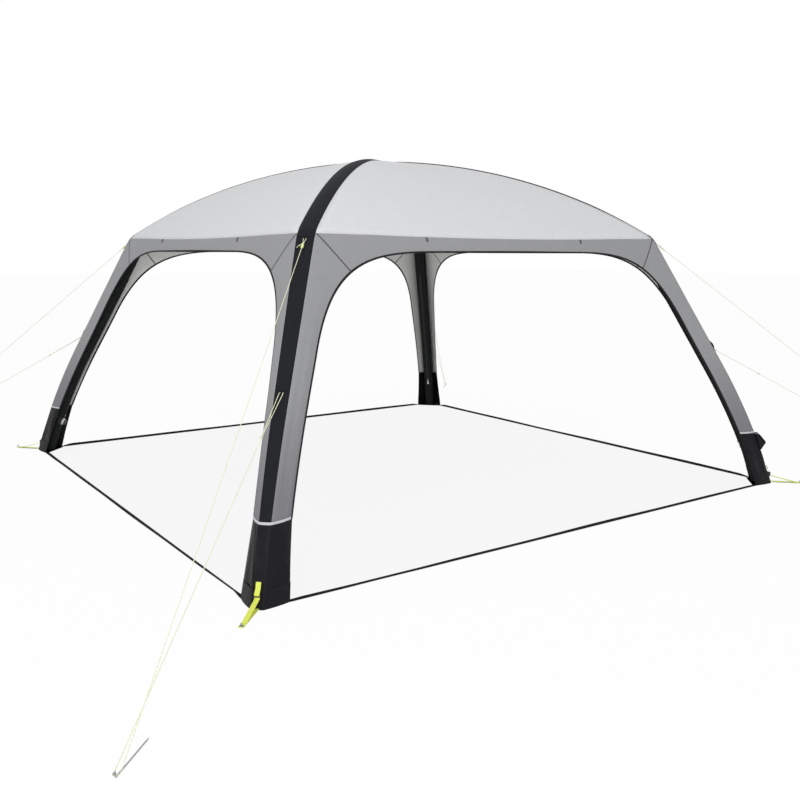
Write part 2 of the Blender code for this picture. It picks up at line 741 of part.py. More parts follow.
def build_beams():
    sleeve = material("sleeve_polyester", "#1f2021", 0.65)
    film = material("bladder_film", "#c9cdd0", 0.3)
    mesh = sleeve_mesh()
    for leg, angle in LEGS.items():
        add(f"beam_sleeve_{leg}", mesh, sleeve, angle)
    arch = bladder_mesh()
    part = add("air_bladder", arch, film, LEGS["front_left"])
    other = cutter("bladder_cross", arch, Matrix.Rotation(math.radians(LEGS["front_right"]), 4, "Z"))
    combine(part, other, "UNION")


# Boots

def boot_outline(z, proud):
    """Corner section of a boot at a height: outer points and inner points, in the corner at -X -Y."""
    plane = along(SIDE_OUTER, station_of(z)).x
    wing = wing_width(z)
    tuck = edge_tuck(z)
    outer, inner = [], []
    for points, depth, chamfer in ((outer, -proud, band_width(z) / ROOT2 - proud * (ROOT2 - 1)),
                                   (inner, BOOT_WALL, band_width(z) / ROOT2 + BOOT_WALL * (ROOT2 - 1))):
        half = []
        for j in range(WING_COLUMNS, -1, -1):
            across = j / WING_COLUMNS
            reach = chamfer + (wing - chamfer) * across
            half.append(Vector((-plane + reach, -plane + depth + tuck * across ** 2)))
        points += half + [Vector((point.y, point.x)) for point in reversed(half)]
    return outer, inner[::-1]


def floor_patch_edge(outer):
    """Straight end of the floor patch between the two wings, from the -X side to the -Y side."""
    end = outer[0]
    step = -along(SIDE_OUTER, station_of(0)).x + BASE_EDGE
    return [Vector((step, end.x)), Vector((end.x, step))]


def boot_mesh():
    """Two wings and the chamfered corner, standing on a floor patch."""
    bm = bmesh.new()
    outer, inner = boot_outline(0, HEM_PROUD)
    outline = outer + [inner[0]] + floor_patch_edge(outer) + [inner[-1]]
    low = [bm.verts.new((*p, 0)) for p in outline]
    outer, inner = boot_outline(BOOT_BASE, HEM_PROUD)
    outline = outer + [inner[0]] + floor_patch_edge(outer) + [inner[-1]]
    high = [bm.verts.new((*p, BOOT_BASE)) for p in outline]
    between = [bm.verts.new((*p, BOOT_BASE)) for p in inner[1:-1]]
    bm.faces.new(low)
    count = len(low)
    for k in range(count):
        bm.faces.new((low[k], low[(k + 1) % count], high[(k + 1) % count], high[k]))
    first = len(outer)
    bm.faces.new(high[first:] + between[::-1])
    ring = high[:first + 1] + between + [high[-1]]
    levels = [(HEM_HEIGHT, HEM_PROUD), (HEM_HEIGHT + HEM_PROUD, 0)]
    levels += [(RIDGE[BOOT_STATION + i].y, 0) for i in (2, 1, 0)]
    for z, proud in levels:
        outer, inner = boot_outline(z, proud)
        upper = [bm.verts.new((*p, z)) for p in outer + inner]
        for k in range(len(ring)):
            following = (k + 1) % len(ring)
            bm.faces.new((ring[k], ring[following], upper[following], upper[k]))
        ring = upper
    bm.faces.new(ring)
    return finish_mesh("boot", bm)


def build_boots():
    black = material("boot_pvc", "#29292c", 0.6)
    mesh = boot_mesh()
    for leg, angle in LEGS.items():
        add(f"boot_{leg}", mesh, black, angle - LEGS["front_left"])


# Perimeter straps

def perimeter_strap_mesh():
    plane = along(SIDE_OUTER, station_of(0)).x
    half = plane - wing_width(0) - GAP
    bm = bmesh.new()
    centre = Matrix.Translation((0, -SIDE / 2, STRAP_THICKNESS / 2))
    block(bm, (2 * half, STRAP_WIDTH, STRAP_THICKNESS), centre, STRAP_BEVEL)
    return finish_mesh("perimeter_strap", bm)


def build_straps():
    black = material("strap_webbing", "#1d1d1f", 0.8)
    mesh = perimeter_strap_mesh()
    for side, angle in SIDES.items():
        add(f"perimeter_strap_{side}", mesh, black, angle)


# Peg straps, ladder locks and foot pegs

PEG_RIDGE = FOOT_RIDGE + FOOT_PEG_REACH
STRAP_LEVEL = 2 * PEG_WIRE + GAP + WEBBING_THICKNESS / 2


def boot_face(z):
    """Distance of the boot's corner face from the centre at a height."""
    proud = HEM_PROUD if z < HEM_HEIGHT + HEM_PROUD else 0
    return along(RIDGE, station_of(z)).x + proud


def buckle_face():
    """Front of the ladder lock's bars, so that its rails just clear the boot."""
    low = BUCKLE_HEIGHT - BAR_PITCH - BAR_HEIGHT
    return boot_face(low) + GAP + BUCKLE_DEPTH


def peg_strap_mesh():
    """Webbing from the boot out to an eyelet and back up, woven through the ladder lock."""
    half = WEBBING_THICKNESS / 2
    front = buckle_face()
    clear = half + WEAVE_CLEARANCE
    bend = WEBBING_THICKNESS - GAP
    before = front + clear
    behind = front - BAR_DEPTH - clear
    z = BUCKLE_HEIGHT
    weave = [(before, z - BAR_PITCH), (before, z - BAR_PITCH + bend), (behind, z - bend), (behind, z + bend),
             (before, z + BAR_PITCH - bend), (before, z + BAR_PITCH + bend), (before + half, TAIL_TOP)]
    join = Vector((PEG_RIDGE - TONGUE_LENGTH, STRAP_LEVEL + WEBBING_THICKNESS))
    centre = [join] + [Vector(point) for point in weave]
    outer = offset_line(centre, -half)
    inner = offset_line(centre, half)
    if outer[3].x < inner[3].x:
        outer, inner = inner, outer
    tip = PEG_RIDGE + TONGUE_TIP
    start = boot_face(0) + GAP
    outline = [Vector((start, STRAP_LEVEL - half)), Vector((tip, STRAP_LEVEL - half)),
               Vector((tip, STRAP_LEVEL + 3 * half)), Vector((join.x + TONGUE_LAP, STRAP_LEVEL + 3 * half))]
    outline += outer[1:] + inner[:0:-1]
    outline += [Vector((join.x - TONGUE_NOTCH, STRAP_LEVEL + half)), Vector((start, STRAP_LEVEL + half))]
    return prism("peg_strap", outline, WEBBING_WIDTH / 2)


def buckle_mesh():
    """Two side rails and three cross bars."""
    bm = bmesh.new()
    front = buckle_face()
    width = WEBBING_WIDTH + 2 * (BUCKLE_RAIL + 2 * GAP)
    height = 2 * BAR_PITCH + BAR_HEIGHT
    back = -BUCKLE_DEPTH
    corners = [(-1, -1), (1, -1), (1, 1), (-1, 1)]
    face = bm.faces.new([bm.verts.new((0, y * width / 2, z * height / 2)) for y, z in corners])
    moved = bmesh.ops.extrude_face_region(bm, geom=[face])["geom"]
    bmesh.ops.translate(bm, verts=[v for v in moved if isinstance(v, bmesh.types.BMVert)], vec=(back, 0, 0))
    bmesh.ops.translate(bm, verts=bm.verts, vec=(front, 0, BUCKLE_HEIGHT))
    return finish_mesh("strap_buckle", bm)


def buckle_cuts_mesh():
    """Windows between the bars, and the hollow behind them."""
    bm = bmesh.new()
    front = buckle_face()
    width = WEBBING_WIDTH + 4 * GAP
    window = BAR_PITCH - BAR_HEIGHT
    for sign in (-1, 1):
        centre = Matrix.Translation((front, 0, BUCKLE_HEIGHT + sign * BAR_PITCH / 2))
        block(bm, (4 * BUCKLE_DEPTH, width, window), centre, 0)
    return finish_mesh("buckle_windows", bm)


def buckle_hollow_mesh():
    bm = bmesh.new()
    front = buckle_face()
    width = WEBBING_WIDTH + 4 * GAP
    hollow = Matrix.Translation((front - BAR_DEPTH - BUCKLE_DEPTH, 0, BUCKLE_HEIGHT))
    block(bm, (2 * BUCKLE_DEPTH, width, 4 * BAR_PITCH), hollow, 0)
    return finish_mesh("buckle_hollow", bm)


def peg_curve(name, length):
    """Bent wire peg lying on the ground, its hook upright at the origin and its point towards -X."""
    middle = PEG_WIRE
    points = [Vector((-length, 0, middle)), Vector((-PEG_BEND, 0, middle))]
    for k in (1, 2, 3):
        angle = math.radians(30 * k)
        rise = PEG_BEND * (1 - math.cos(angle))
        points.append(Vector((PEG_BEND * (math.sin(angle) - 1), 0, middle + rise)))
    for k in (0, 1, 2, 3):
        angle = math.radians(30 * k)
        points.append(Vector((PEG_BEND * (1 - math.cos(angle)), 0,
                              HOOK_HEIGHT - PEG_BEND + PEG_BEND * math.sin(angle))))
    points.append(Vector((HOOK_REACH, 0, HOOK_HEIGHT)))
    return wire_curve(name, points, PEG_WIRE, 1)


def build_pegs():
    yellow = material("peg_strap_webbing", "#d9e45c", 0.7)
    plastic = material("buckle_acetal", "#232427", 0.45)
    steel = material("peg_steel", "#a9abae", 0.35, 1.0)
    strap_mesh = peg_strap_mesh()
    eyelet = turned("eyelet", [(0, -EYELET_CUT), (EYELET_RADIUS, -EYELET_CUT), (EYELET_RADIUS, EYELET_CUT),
                               (0, EYELET_CUT)], 12)
    lock_mesh = buckle_mesh()
    windows = buckle_cuts_mesh()
    hollow = buckle_hollow_mesh()
    foot_curve = peg_curve("foot_peg", FOOT_PEG_LENGTH)
    for leg, angle in LEGS.items():
        turn = Matrix.Rotation(math.radians(angle), 4, "Z")
        strap = add(f"peg_strap_{leg}", strap_mesh, yellow, angle)
        hole = cutter(f"eyelet_{leg}", eyelet, turn @ Matrix.Translation((PEG_RIDGE, 0, 0)))
        combine(strap, hole, "DIFFERENCE")
        lock = add(f"strap_buckle_{leg}", lock_mesh, plastic, angle)
        combine(lock, cutter(f"windows_{leg}", windows, turn), "DIFFERENCE")
        combine(lock, cutter(f"hollow_{leg}", hollow, turn), "DIFFERENCE")
        add(f"foot_peg_{leg}", foot_curve, steel, angle, (PEG_RIDGE, 0, 0))


# Guy lines, their runners and pegs

def rising_run(z, side):
    """One run of the guy line, from its tab down to the turn round the peg."""
    root, pull = tab_frame(z)
    start = root + pull * (TAB_LENGTH + GAP)
    apex = guy_apex()
    rise = math.atan2(start.y - apex.y, apex.x - start.x)
    arc = []
    for k in (0, 1, 2, 3):
        angle = rise * k / 3
        arc.append(Vector((apex.x - CORD_RISE_RADIUS * math.sin(angle), side * CORD_TURN,
                           apex.y + CORD_RISE_RADIUS * (1 - math.cos(angle)))))
    top = Vector((start.x, 0, start.y))
    straight = [top.lerp(arc[-1], i / CORD_STEPS) for i in range(CORD_STEPS)]
    return straight + arc[::-1]


def guy_line_curve():
    """Cord from the eave tab, round the peg's hook and back to the tab at half height."""
    apex = guy_apex()
    down = rising_run(EAVE_TAB_HEIGHT, 1)
    up = rising_run(LEG_TAB_HEIGHT, -1)[::-1]
    turn = []
    for k in range(1, 8):
        angle = math.pi / 2 - math.pi * k / 8
        turn.append(Vector((apex.x + CORD_TURN * math.cos(angle), CORD_TURN * math.sin(angle), apex.y)))
    return wire_curve("guy_line", down + turn + up, CORD_RADIUS, 2)


def runner_mesh():
    """Flat cord runner with a bore along X, narrower at its upper end."""
    outline = [(-0.5, -0.5), (-0.5, 0.5), (RUNNER_SHOULDER, 0.5), (0.5, RUNNER_TIP), (0.5, -RUNNER_TIP),
               (RUNNER_SHOULDER, -0.5)]
    bm = bmesh.new()
    face = bm.faces.new([bm.verts.new((-x * RUNNER_LENGTH, y * RUNNER_WIDTH, -RUNNER_THICKNESS / 2))
                         for x, y in outline])
    moved = bmesh.ops.extrude_face_region(bm, geom=[face])["geom"]
    verts = [item for item in moved if isinstance(item, bmesh.types.BMVert)]
    bmesh.ops.translate(bm, verts=verts, vec=(0, 0, RUNNER_THICKNESS))
    bmesh.ops.recalc_face_normals(bm, faces=bm.faces)
    bmesh.ops.bevel(bm, geom=list(bm.edges), offset=RUNNER_BEVEL, segments=1, profile=0.5, affect="EDGES",
                    material=-1)
    return finish_mesh("guy_runner", bm)


def build_guys():
    yellow = material("guy_cord", "#dbe564", 0.6)
    plastic = material("runner_nylon", "#d6df5a", 0.45)
    steel = material("guy_peg_steel", "#a9abae", 0.35, 1.0)
    line = guy_line_curve()
    peg = peg_curve("guy_peg", GUY_PEG_LENGTH)
    runner = runner_mesh()
    wide = CORD_RADIUS + RUNNER_CLEARANCE
    bore = turned("runner_bore", [(0, -RUNNER_LENGTH), (wide, -RUNNER_LENGTH), (wide, RUNNER_LENGTH),
                                  (0, RUNNER_LENGTH)], 10)
    run = rising_run(EAVE_TAB_HEIGHT, 1)
    top = run[0]
    direction = (run[1] - top).normalized()
    across = Vector((0, 0, 1)).cross(direction).normalized()
    upward = direction.cross(across)
    frame = Matrix((direction, across, upward)).transposed().to_4x4()
    frame.translation = top + direction * RUNNER_DISTANCE
    for leg, angle in LEGS.items():
        turn = Matrix.Rotation(math.radians(angle), 4, "Z")
        add(f"guy_line_{leg}", line, yellow, angle)
        add(f"guy_peg_{leg}", peg, steel, angle, (FOOT_RIDGE + GUY_PEG_REACH, 0, 0))
        part = add(f"guy_runner_{leg}", runner, plastic, angle, (0, 0, 0), frame)
        hole = cutter(f"runner_bore_{leg}", bore, turn @ frame @ Matrix.Rotation(math.pi / 2, 4, "Y"))
        combine(part, hole, "DIFFERENCE")


# Inflation valve on the rear left leg and the flap on the front right boot

def build_valve():
    black = material("valve_nylon", "#9da0a3", 0.4)
    path = beam_path()
    station = station_of(VALVE_HEIGHT)
    centre = along(path, station)
    i = int(station)
    down = (RIDGE[i + 1] - RIDGE[i]).normalized()
    inward = Vector((down.y, -down.x))
    seat = centre + inward * (BEAM_RADIUS + GAP)
    place = Vector((seat.x, 0, seat.y))
    axis = Vector((inward.x, 0, inward.y))
    across = Vector((0, 1, 0))
    upward = across.cross(axis)
    frame = Matrix((upward, across, axis)).transposed().to_4x4()
    frame.translation = place
    top = VALVE_FLANGE_LENGTH + VALVE_NECK_LENGTH
    well = VALVE_FLANGE_LENGTH
    post_top = well + POST_LENGTH
    body = turned("valve_body", [(0, 0), (VALVE_FLANGE_RADIUS, 0), (VALVE_FLANGE_RADIUS, well),
                                 (VALVE_NECK_RADIUS, well), (VALVE_NECK_RADIUS, top),
                                 (VALVE_BORE_RADIUS, top), (VALVE_BORE_RADIUS, well), (POST_RADIUS, well),
                                 (POST_RADIUS, post_top), (0, post_top)], 20)
    turn_angle = LEGS["rear_left"]
    add("valve_body", body, black, turn_angle, (0, 0, 0), frame)
    plunger_low = well + PLUNGER_TRAVEL + GAP
    plunger_top = top - PLUNGER_SINK
    roof = post_top + PLUNGER_TRAVEL + GAP
    bore = POST_RADIUS + GAP
    plunger = turned("valve_plunger", [(0, roof), (bore, roof), (bore, plunger_low),
                                       (PLUNGER_RADIUS, plunger_low), (PLUNGER_RADIUS, plunger_top),
                                       (0, plunger_top)], 20)
    add("valve_plunger", plunger, black, turn_angle, (0, 0, 0), frame)
    hinge = CAP_RADIUS
    cap = turned("valve_cap", [(0, 0), (CAP_RADIUS, 0), (CAP_RADIUS, CAP_LENGTH - CAP_CHAMFER),
                               (CAP_RADIUS - CAP_CHAMFER, CAP_LENGTH), (0, CAP_LENGTH)], 20)
    cap.transform(Matrix.Translation((hinge if upward.z < 0 else -hinge, 0, GAP)))
    shift = Matrix.Translation((-hinge if upward.z < 0 else hinge, 0, top))
    add("valve_cap", cap, black, turn_angle, (0, 0, 0), frame @ shift)


def flap_hinge():
    """Distance of the flap's hinge line from the centre, just clear of the boot."""
    return boot_face(FLAP_HINGE_HEIGHT) + FABRIC / 2 + GAP


def boot_flap_mesh():
    """Boxed fabric flap that stands out at the top of the boot's corner, its origin on the hinge line."""
    half = FABRIC / 2
    low = -FLAP_DROP - FLAP_RETURN
    foot = boot_face(FLAP_HINGE_HEIGHT + low) + GAP - flap_hinge()
    outline = [Vector((0, half)), Vector((FLAP_SHOULDER, half)), Vector((FLAP_REACH, -FLAP_DROP)),
               Vector((foot + FABRIC, low)), Vector((foot, low)), Vector((0, -half))]
    return prism("boot_flap", outline, FLAP_WIDTH / 2)


def build_flap():
    black = material("flap_oxford", "#242426", 0.65)
    place = (flap_hinge(), 0, FLAP_HINGE_HEIGHT)
    add("boot_flap", boot_flap_mesh(), black, LEGS["front_right"], place)


clear_scene()
build_canopy()
build_bands()
build_beams()
build_boots()
build_straps()
build_pegs()
build_guys()
build_valve()
build_flap()
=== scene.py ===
# %% [markdown]
# # Beach tent: fabric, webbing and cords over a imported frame
#
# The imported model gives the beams' places and every moving piece. This notebook dresses it: thin cloth
# stretched between the air beams, webbing, cords and small fittings. Every length is in metres.

# %% Load the frame
import math

import bmesh
import bpy
import numpy as np
from mathutils import Matrix, Vector


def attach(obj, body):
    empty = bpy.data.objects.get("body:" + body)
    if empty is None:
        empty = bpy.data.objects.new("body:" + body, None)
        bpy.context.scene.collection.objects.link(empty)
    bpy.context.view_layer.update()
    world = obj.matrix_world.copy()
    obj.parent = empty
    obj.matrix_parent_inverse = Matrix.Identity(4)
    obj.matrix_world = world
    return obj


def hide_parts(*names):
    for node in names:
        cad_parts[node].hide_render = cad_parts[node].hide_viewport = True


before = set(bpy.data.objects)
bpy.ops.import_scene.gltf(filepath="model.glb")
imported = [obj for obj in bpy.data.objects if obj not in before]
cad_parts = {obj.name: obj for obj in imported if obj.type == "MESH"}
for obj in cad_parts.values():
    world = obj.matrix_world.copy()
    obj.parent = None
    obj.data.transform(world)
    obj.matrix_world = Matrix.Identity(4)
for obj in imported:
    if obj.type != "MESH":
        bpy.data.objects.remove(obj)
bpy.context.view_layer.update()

# %% [markdown]
# ## Colours and nodes
#
# A colour picked from a photograph is an sRGB value, while Blender's shaders work with linear light, so
# one function turns the hex code into linear numbers. Another adds a node, sets its inputs and links it,
# which keeps each material short enough to read as a recipe. The last step of nearly every recipe is the
# same: two close colours, a relief and an uneven gloss, all driven by the material's own pattern.

# %% Colour and node helpers
def linear(code):
    """sRGB hex code as linear RGBA."""
    parts = [int(code[i:i + 2], 16) / 255 for i in (1, 3, 5)]
    return (*[p / 12.92 if p <= 0.04045 else ((p + 0.055) / 1.055) ** 2.4 for p in parts], 1.0)


def add_node(tree, kind, inputs=None, links=None, **settings):
    """Adds a shader node with its settings, its input values and the outputs that feed it."""
    node = tree.nodes.new("ShaderNode" + kind)
    for name, value in settings.items():
        setattr(node, name, value)
    for name, value in (inputs or {}).items():
        node.inputs[name].default_value = value
    for name, output in (links or {}).items():
        tree.links.new(output, node.inputs[name])
    return node


def new_material(name, roughness, metallic=0.0, colour="#808080", **shader_inputs):
    """Principled material, with its tree and its shader node."""
    made = bpy.data.materials.new(name)
    made.use_nodes = True
    shader = made.node_tree.nodes["Principled BSDF"]
    shader.inputs["Base Color"].default_value = linear(colour)
    shader.inputs["Roughness"].default_value = roughness
    shader.inputs["Metallic"].default_value = metallic
    for name, value in shader_inputs.items():
        shader.inputs[name.replace("_", " ")].default_value = value
    return made, made.node_tree, shader


def finish_shader(tree, shader, dark, light, share, relief, gloss=None, spread=0.0):
    """Mixes two colours by a share, adds the relief, and spreads the roughness where a gloss is given."""
    colours = add_node(tree, "Mix", {6: linear(dark), 7: linear(light)}, {"Factor": share}, data_type="RGBA")
    tree.links.new(colours.outputs[2], shader.inputs["Base Color"])
    tree.links.new(relief.outputs[0], shader.inputs["Normal"])
    if gloss is not None:
        middle = shader.inputs["Roughness"].default_value
        level = add_node(tree, "MapRange", {"To Min": middle - spread, "To Max": middle + spread},
                         {"Value": gloss})
        tree.links.new(level.outputs[0], shader.inputs["Roughness"])


# %% [markdown]
# ## The camera
#
# The square of webbing on the ground is four metres a side, so its corners in the photograph fix where
# the camera stood, how it was turned and how long its lens was. It stood a little over eye height, 6.8 m
# from the middle of the tent.

# %% Camera
CAMERA_PLACE = Vector((-3.6555, -5.4808, 1.6064))
CAMERA_FORWARD = Vector((0.56666, 0.80717, -0.16545))
CAMERA_UP = Vector((0.09204, 0.13753, 0.98621))
CAMERA_LENS = 39.60
SENSOR_WIDTH = 36

camera_data = bpy.data.cameras.new("camera")
camera_data.sensor_width = SENSOR_WIDTH
camera_data.lens = CAMERA_LENS
camera_data.clip_start, camera_data.clip_end = 0.05, 200
camera = bpy.data.objects.new("camera", camera_data)
bpy.context.scene.collection.objects.link(camera)
aside = CAMERA_FORWARD.cross(CAMERA_UP).normalized()
upright = aside.cross(CAMERA_FORWARD).normalized()
aim = Matrix((aside, upright, -CAMERA_FORWARD.normalized())).transposed()
camera.matrix_world = Matrix.Translation(CAMERA_PLACE) @ aim.to_4x4()
bpy.context.scene.camera = camera
print("camera distance:", round(CAMERA_PLACE.length, 2))

# %% [markdown]
# ## The beam's line
#
# Each air beam rises from a foot, bends over at the eave and runs over the crown to the opposite foot.
# Everything else hangs on that line, so it is worked out once, in the upright plane of a leg: a distance
# from the centre and a height. Two arcs and a gently tucked leg describe it, and after that any piece can
# ask for the point and the outward direction at a length along the beam.

# %% Profile of the ridge
SIDE = 4.0
ROOT2 = math.sqrt(2)
FOOT_RIDGE = SIDE / ROOT2 + 0.012
EAVE_RIDGE = 1.375 * ROOT2
EAVE_HEIGHT = 1.71
CROWN_HEIGHT = 2.245
EAVE_FILLET = 0.25
FOOT_TUCK = 0.115
TUCK_HEIGHT = 0.85
BOOT_HEIGHT = 0.36
LEG_SLOPE = (FOOT_RIDGE + FOOT_TUCK - EAVE_RIDGE) / EAVE_HEIGHT
ROOF_RISE = CROWN_HEIGHT - EAVE_HEIGHT
ROOF_RADIUS = (EAVE_RIDGE ** 2 + ROOF_RISE ** 2) / (2 * ROOF_RISE)
ROOF_ANGLE = math.asin(EAVE_RIDGE / ROOF_RADIUS)
LEG_ANGLE = math.atan2(1, LEG_SLOPE)
FOLD_TANGENT = EAVE_FILLET * math.tan((LEG_ANGLE - ROOF_ANGLE) / 2)
ROOF_POINTS, FOLD_POINTS, LEG_POINTS = 120, 24, 160
FOLD_FIRST = ROOF_POINTS - 1
FOLD_LAST = FOLD_FIRST + FOLD_POINTS - 1


def leg_ridge(z):
    """Distance of the ridge from the centre at a height on the leg."""
    tuck = max(TUCK_HEIGHT - z, 0) / TUCK_HEIGHT
    return EAVE_RIDGE + LEG_SLOPE * (EAVE_HEIGHT - z) - FOOT_TUCK * tuck ** 2


def ridge_line():
    """Distance and height along the beam, close together, from the crown to the ground."""
    fold_start = Vector((EAVE_RIDGE - FOLD_TANGENT * math.cos(ROOF_ANGLE),
                         EAVE_HEIGHT + FOLD_TANGENT * math.sin(ROOF_ANGLE)))
    r = np.linspace(0, fold_start.x, ROOF_POINTS)
    roof = np.column_stack((r, CROWN_HEIGHT - ROOF_RADIUS + np.sqrt(ROOF_RADIUS ** 2 - r * r)))
    centre = fold_start - EAVE_FILLET * Vector((math.sin(ROOF_ANGLE), math.cos(ROOF_ANGLE)))
    angle = np.linspace(ROOF_ANGLE, LEG_ANGLE, FOLD_POINTS)[1:]
    fold = np.column_stack((centre.x + EAVE_FILLET * np.sin(angle), centre.y + EAVE_FILLET * np.cos(angle)))
    leg = [(leg_ridge(z), z) for z in np.linspace(fold[-1][1], 0, LEG_POINTS)[1:]]
    return np.vstack((roof, fold, leg))


def travel_along(line):
    """Length from the start of a line to each of its points."""
    return np.concatenate(([0], np.cumsum(np.hypot(*np.diff(line, axis=0).T))))


RIDGE = ridge_line()
RUN = travel_along(RIDGE)


def run_at_height(z):
    """Length along the beam at which it comes down to a height."""
    return float(np.interp(-z, -RIDGE[:, 1], RUN))


def ridge(run):
    """Point of the ridge at a length along the beam."""
    return Vector((np.interp(run, RUN, RIDGE[:, 0]), np.interp(run, RUN, RIDGE[:, 1])))


def outward(run):
    """Direction away from the beam, square to the ridge."""
    along = (ridge(min(run + 0.01, RUN[-1])) - ridge(max(run - 0.01, 0))).normalized()
    return Vector((-along.y, along.x))


FOLD_START_RUN, FOLD_END_RUN = float(RUN[FOLD_FIRST]), float(RUN[FOLD_LAST])
EAVE_RUN = (FOLD_START_RUN + FOLD_END_RUN) / 2
BOOT_RUN = run_at_height(BOOT_HEIGHT)
FOOT_RUN = float(RUN[-1])
print("beam from crown to foot:", round(FOOT_RUN, 3), "m")

# %% [markdown]
# ## Legs and sides
#
# The tent is the same on its four legs and its four sides, so every piece is modelled once, and one
# function shows a turned copy of its mesh at each leg or side. The objects stay at the origin with their
# place in their meshes, as the frame's own nodes have it, so a pattern in object coordinates lands where
# the cloth is. Cloth is modelled as a sheet, and a live Solidify modifier gives it its wall.

# %% Copies for legs and sides
LEGS = {"front_left": 225, "front_right": 315, "rear_right": 45, "rear_left": 135}
SIDES = {"front": 0, "right": 90, "rear": 180, "left": 270}


def show(name, mesh, *finishes, slot, body="shelter", replaces=()):
    """Links a finished mesh as a piece that rides on a body."""
    for finish in finishes:
        mesh.materials.append(finish)
    piece = bpy.data.objects.new(name, mesh)
    bpy.context.scene.collection.objects.link(piece)
    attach(piece, body)
    if replaces:
        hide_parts(*replaces)
    return piece


def turning(angle):
    """Turn about the vertical by an angle in degrees."""
    return Matrix.Rotation(math.radians(angle), 4, "Z")


def turned_mesh(mesh, angle, name):
    """Copy of a mesh, turned about the vertical."""
    copy = mesh.copy()
    copy.name = name
    copy.transform(turning(angle))
    return copy


def thicken(piece, wall, both_ways=False, back=0):
    """Live wall, inwards from the sheet or half to each side. back is the inner face's material offset."""
    solid = piece.modifiers.new("wall", "SOLIDIFY")
    solid.thickness = wall
    solid.offset = 0.0 if both_ways else -1.0
    solid.material_offset = back


def around(places, name, mesh, *finishes, slot, replaces=(), wall=None, **wall_settings):
    """Shows a turned copy for each leg or side, and writes its name where the names have {}."""
    pieces = []
    for place, angle in places.items():
        own = name.format(place)
        pieces.append(show(own, turned_mesh(mesh, angle, own), *finishes, slot=slot,
                           replaces=[node.format(place) for node in replaces]))
        if wall:
            thicken(pieces[-1], wall, **wall_settings)
    return pieces


def close_mesh(name, bm, angle=35):
    """Bmesh to smooth shaded mesh with its faces outwards."""
    bmesh.ops.recalc_face_normals(bm, faces=bm.faces)
    mesh = bpy.data.meshes.new(name)
    bm.to_mesh(mesh)
    bm.free()
    mesh.shade_smooth()
    mesh.set_sharp_from_angle(angle=math.radians(angle))
    return mesh


print("legs:", list(LEGS), "sides:", list(SIDES))

# %% [markdown]
# ## Guy lines
#
# One yellow cord goes through the loop at the eave, down to the peg's hook, round it and back up to the
# loop at half height. It is pulled tight, so both runs are straight, and only the turns bend. Each end
# comes back from its loop and is hitched round the cord with three turns. The braid is shown by a
# pattern that winds along the cord's own coordinates.

# %% Route of a guy line
CORD_RADIUS = 0.00175
CORD_TURN = 0.010
CORD_RISE_RADIUS = 0.030
PEG_WIRE = 0.003
GAP = 0.0003
GUY_PEG_RIDGE = FOOT_RIDGE + 1.320
CORD_HEIGHT = 2 * PEG_WIRE + CORD_RADIUS + 0.004
APEX = Vector((GUY_PEG_RIDGE + PEG_WIRE + GAP + CORD_RADIUS - CORD_TURN, CORD_HEIGHT))
EAVE_TAB_HEIGHT = EAVE_HEIGHT - 0.022
LEG_TAB_HEIGHT = 0.945
TAB_LENGTH = 0.018
STRAIGHT_POINTS = 18
HALF_TURN = [math.pi * (k / 8 - 0.5) for k in range(9)]


def tab_direction(z):
    """Root of a guy tab on the ridge, and the way that its cord pulls."""
    root = ridge(run_at_height(z))
    return root, (APEX - root).normalized()


def cord_run(z, across):
    """Points of one run, from the end of its tab down to the turn at the peg."""
    root, pull = tab_direction(z)
    start = root + pull * (TAB_LENGTH + GAP)
    rise = math.atan2(start.y - APEX.y, APEX.x - start.x)
    bend = [Vector((APEX.x - CORD_RISE_RADIUS * math.sin(rise * k / 3), across * CORD_TURN,
                    APEX.y + CORD_RISE_RADIUS * (1 - math.cos(rise * k / 3)))) for k in range(4)]
    top = Vector((start.x, 0, start.y))
    return [top.lerp(bend[-1], i / STRAIGHT_POINTS) for i in range(STRAIGHT_POINTS)] + bend[::-1]


def way_down(run):
    """Direction of the straight part of a run."""
    return (run[STRAIGHT_POINTS - 1] - run[0]).normalized()


UPPER_HITCH, LOWER_HITCH = 0.036, 0.33
UPPER_LOOP_HALF, LOWER_LOOP_HALF = 0.0075, 0.010


def loop_turn(z, half):
    """Turn of the cord through the loop of a tab, from -Y to +Y."""
    root, pull = tab_direction(z)
    middle = root + pull * (TAB_LENGTH + GAP + half)
    return [Vector((middle.x - pull.x * half * math.cos(a), half * math.sin(a),
                    middle.y - pull.y * half * math.cos(a))) for a in HALF_TURN]


def beyond(run, distance):
    """The run without its start: only what lies further than a distance from its top."""
    return [run[0] + way_down(run) * distance] + [p for p in run if (p - run[0]).length > distance]


def guy_route():
    """Whole line: through the upper loop, down, round the peg, and up to and through the lower loop."""
    down = beyond(cord_run(EAVE_TAB_HEIGHT, 1), UPPER_HITCH)
    back = beyond(cord_run(LEG_TAB_HEIGHT, -1), LOWER_HITCH)
    round_peg = [Vector((APEX.x + CORD_TURN * math.cos(a), -CORD_TURN * math.sin(a), APEX.y))
                 for a in HALF_TURN[1:-1]]
    upper, lower = loop_turn(EAVE_TAB_HEIGHT, UPPER_LOOP_HALF), loop_turn(LEG_TAB_HEIGHT, LOWER_LOOP_HALF)
    return upper + down + round_peg + back[::-1] + lower[::-1]


TURN_STEPS = 12
HITCH_TURNS = 3
HITCH_PITCH = 0.0038
HITCH_WIDTH = 2.05


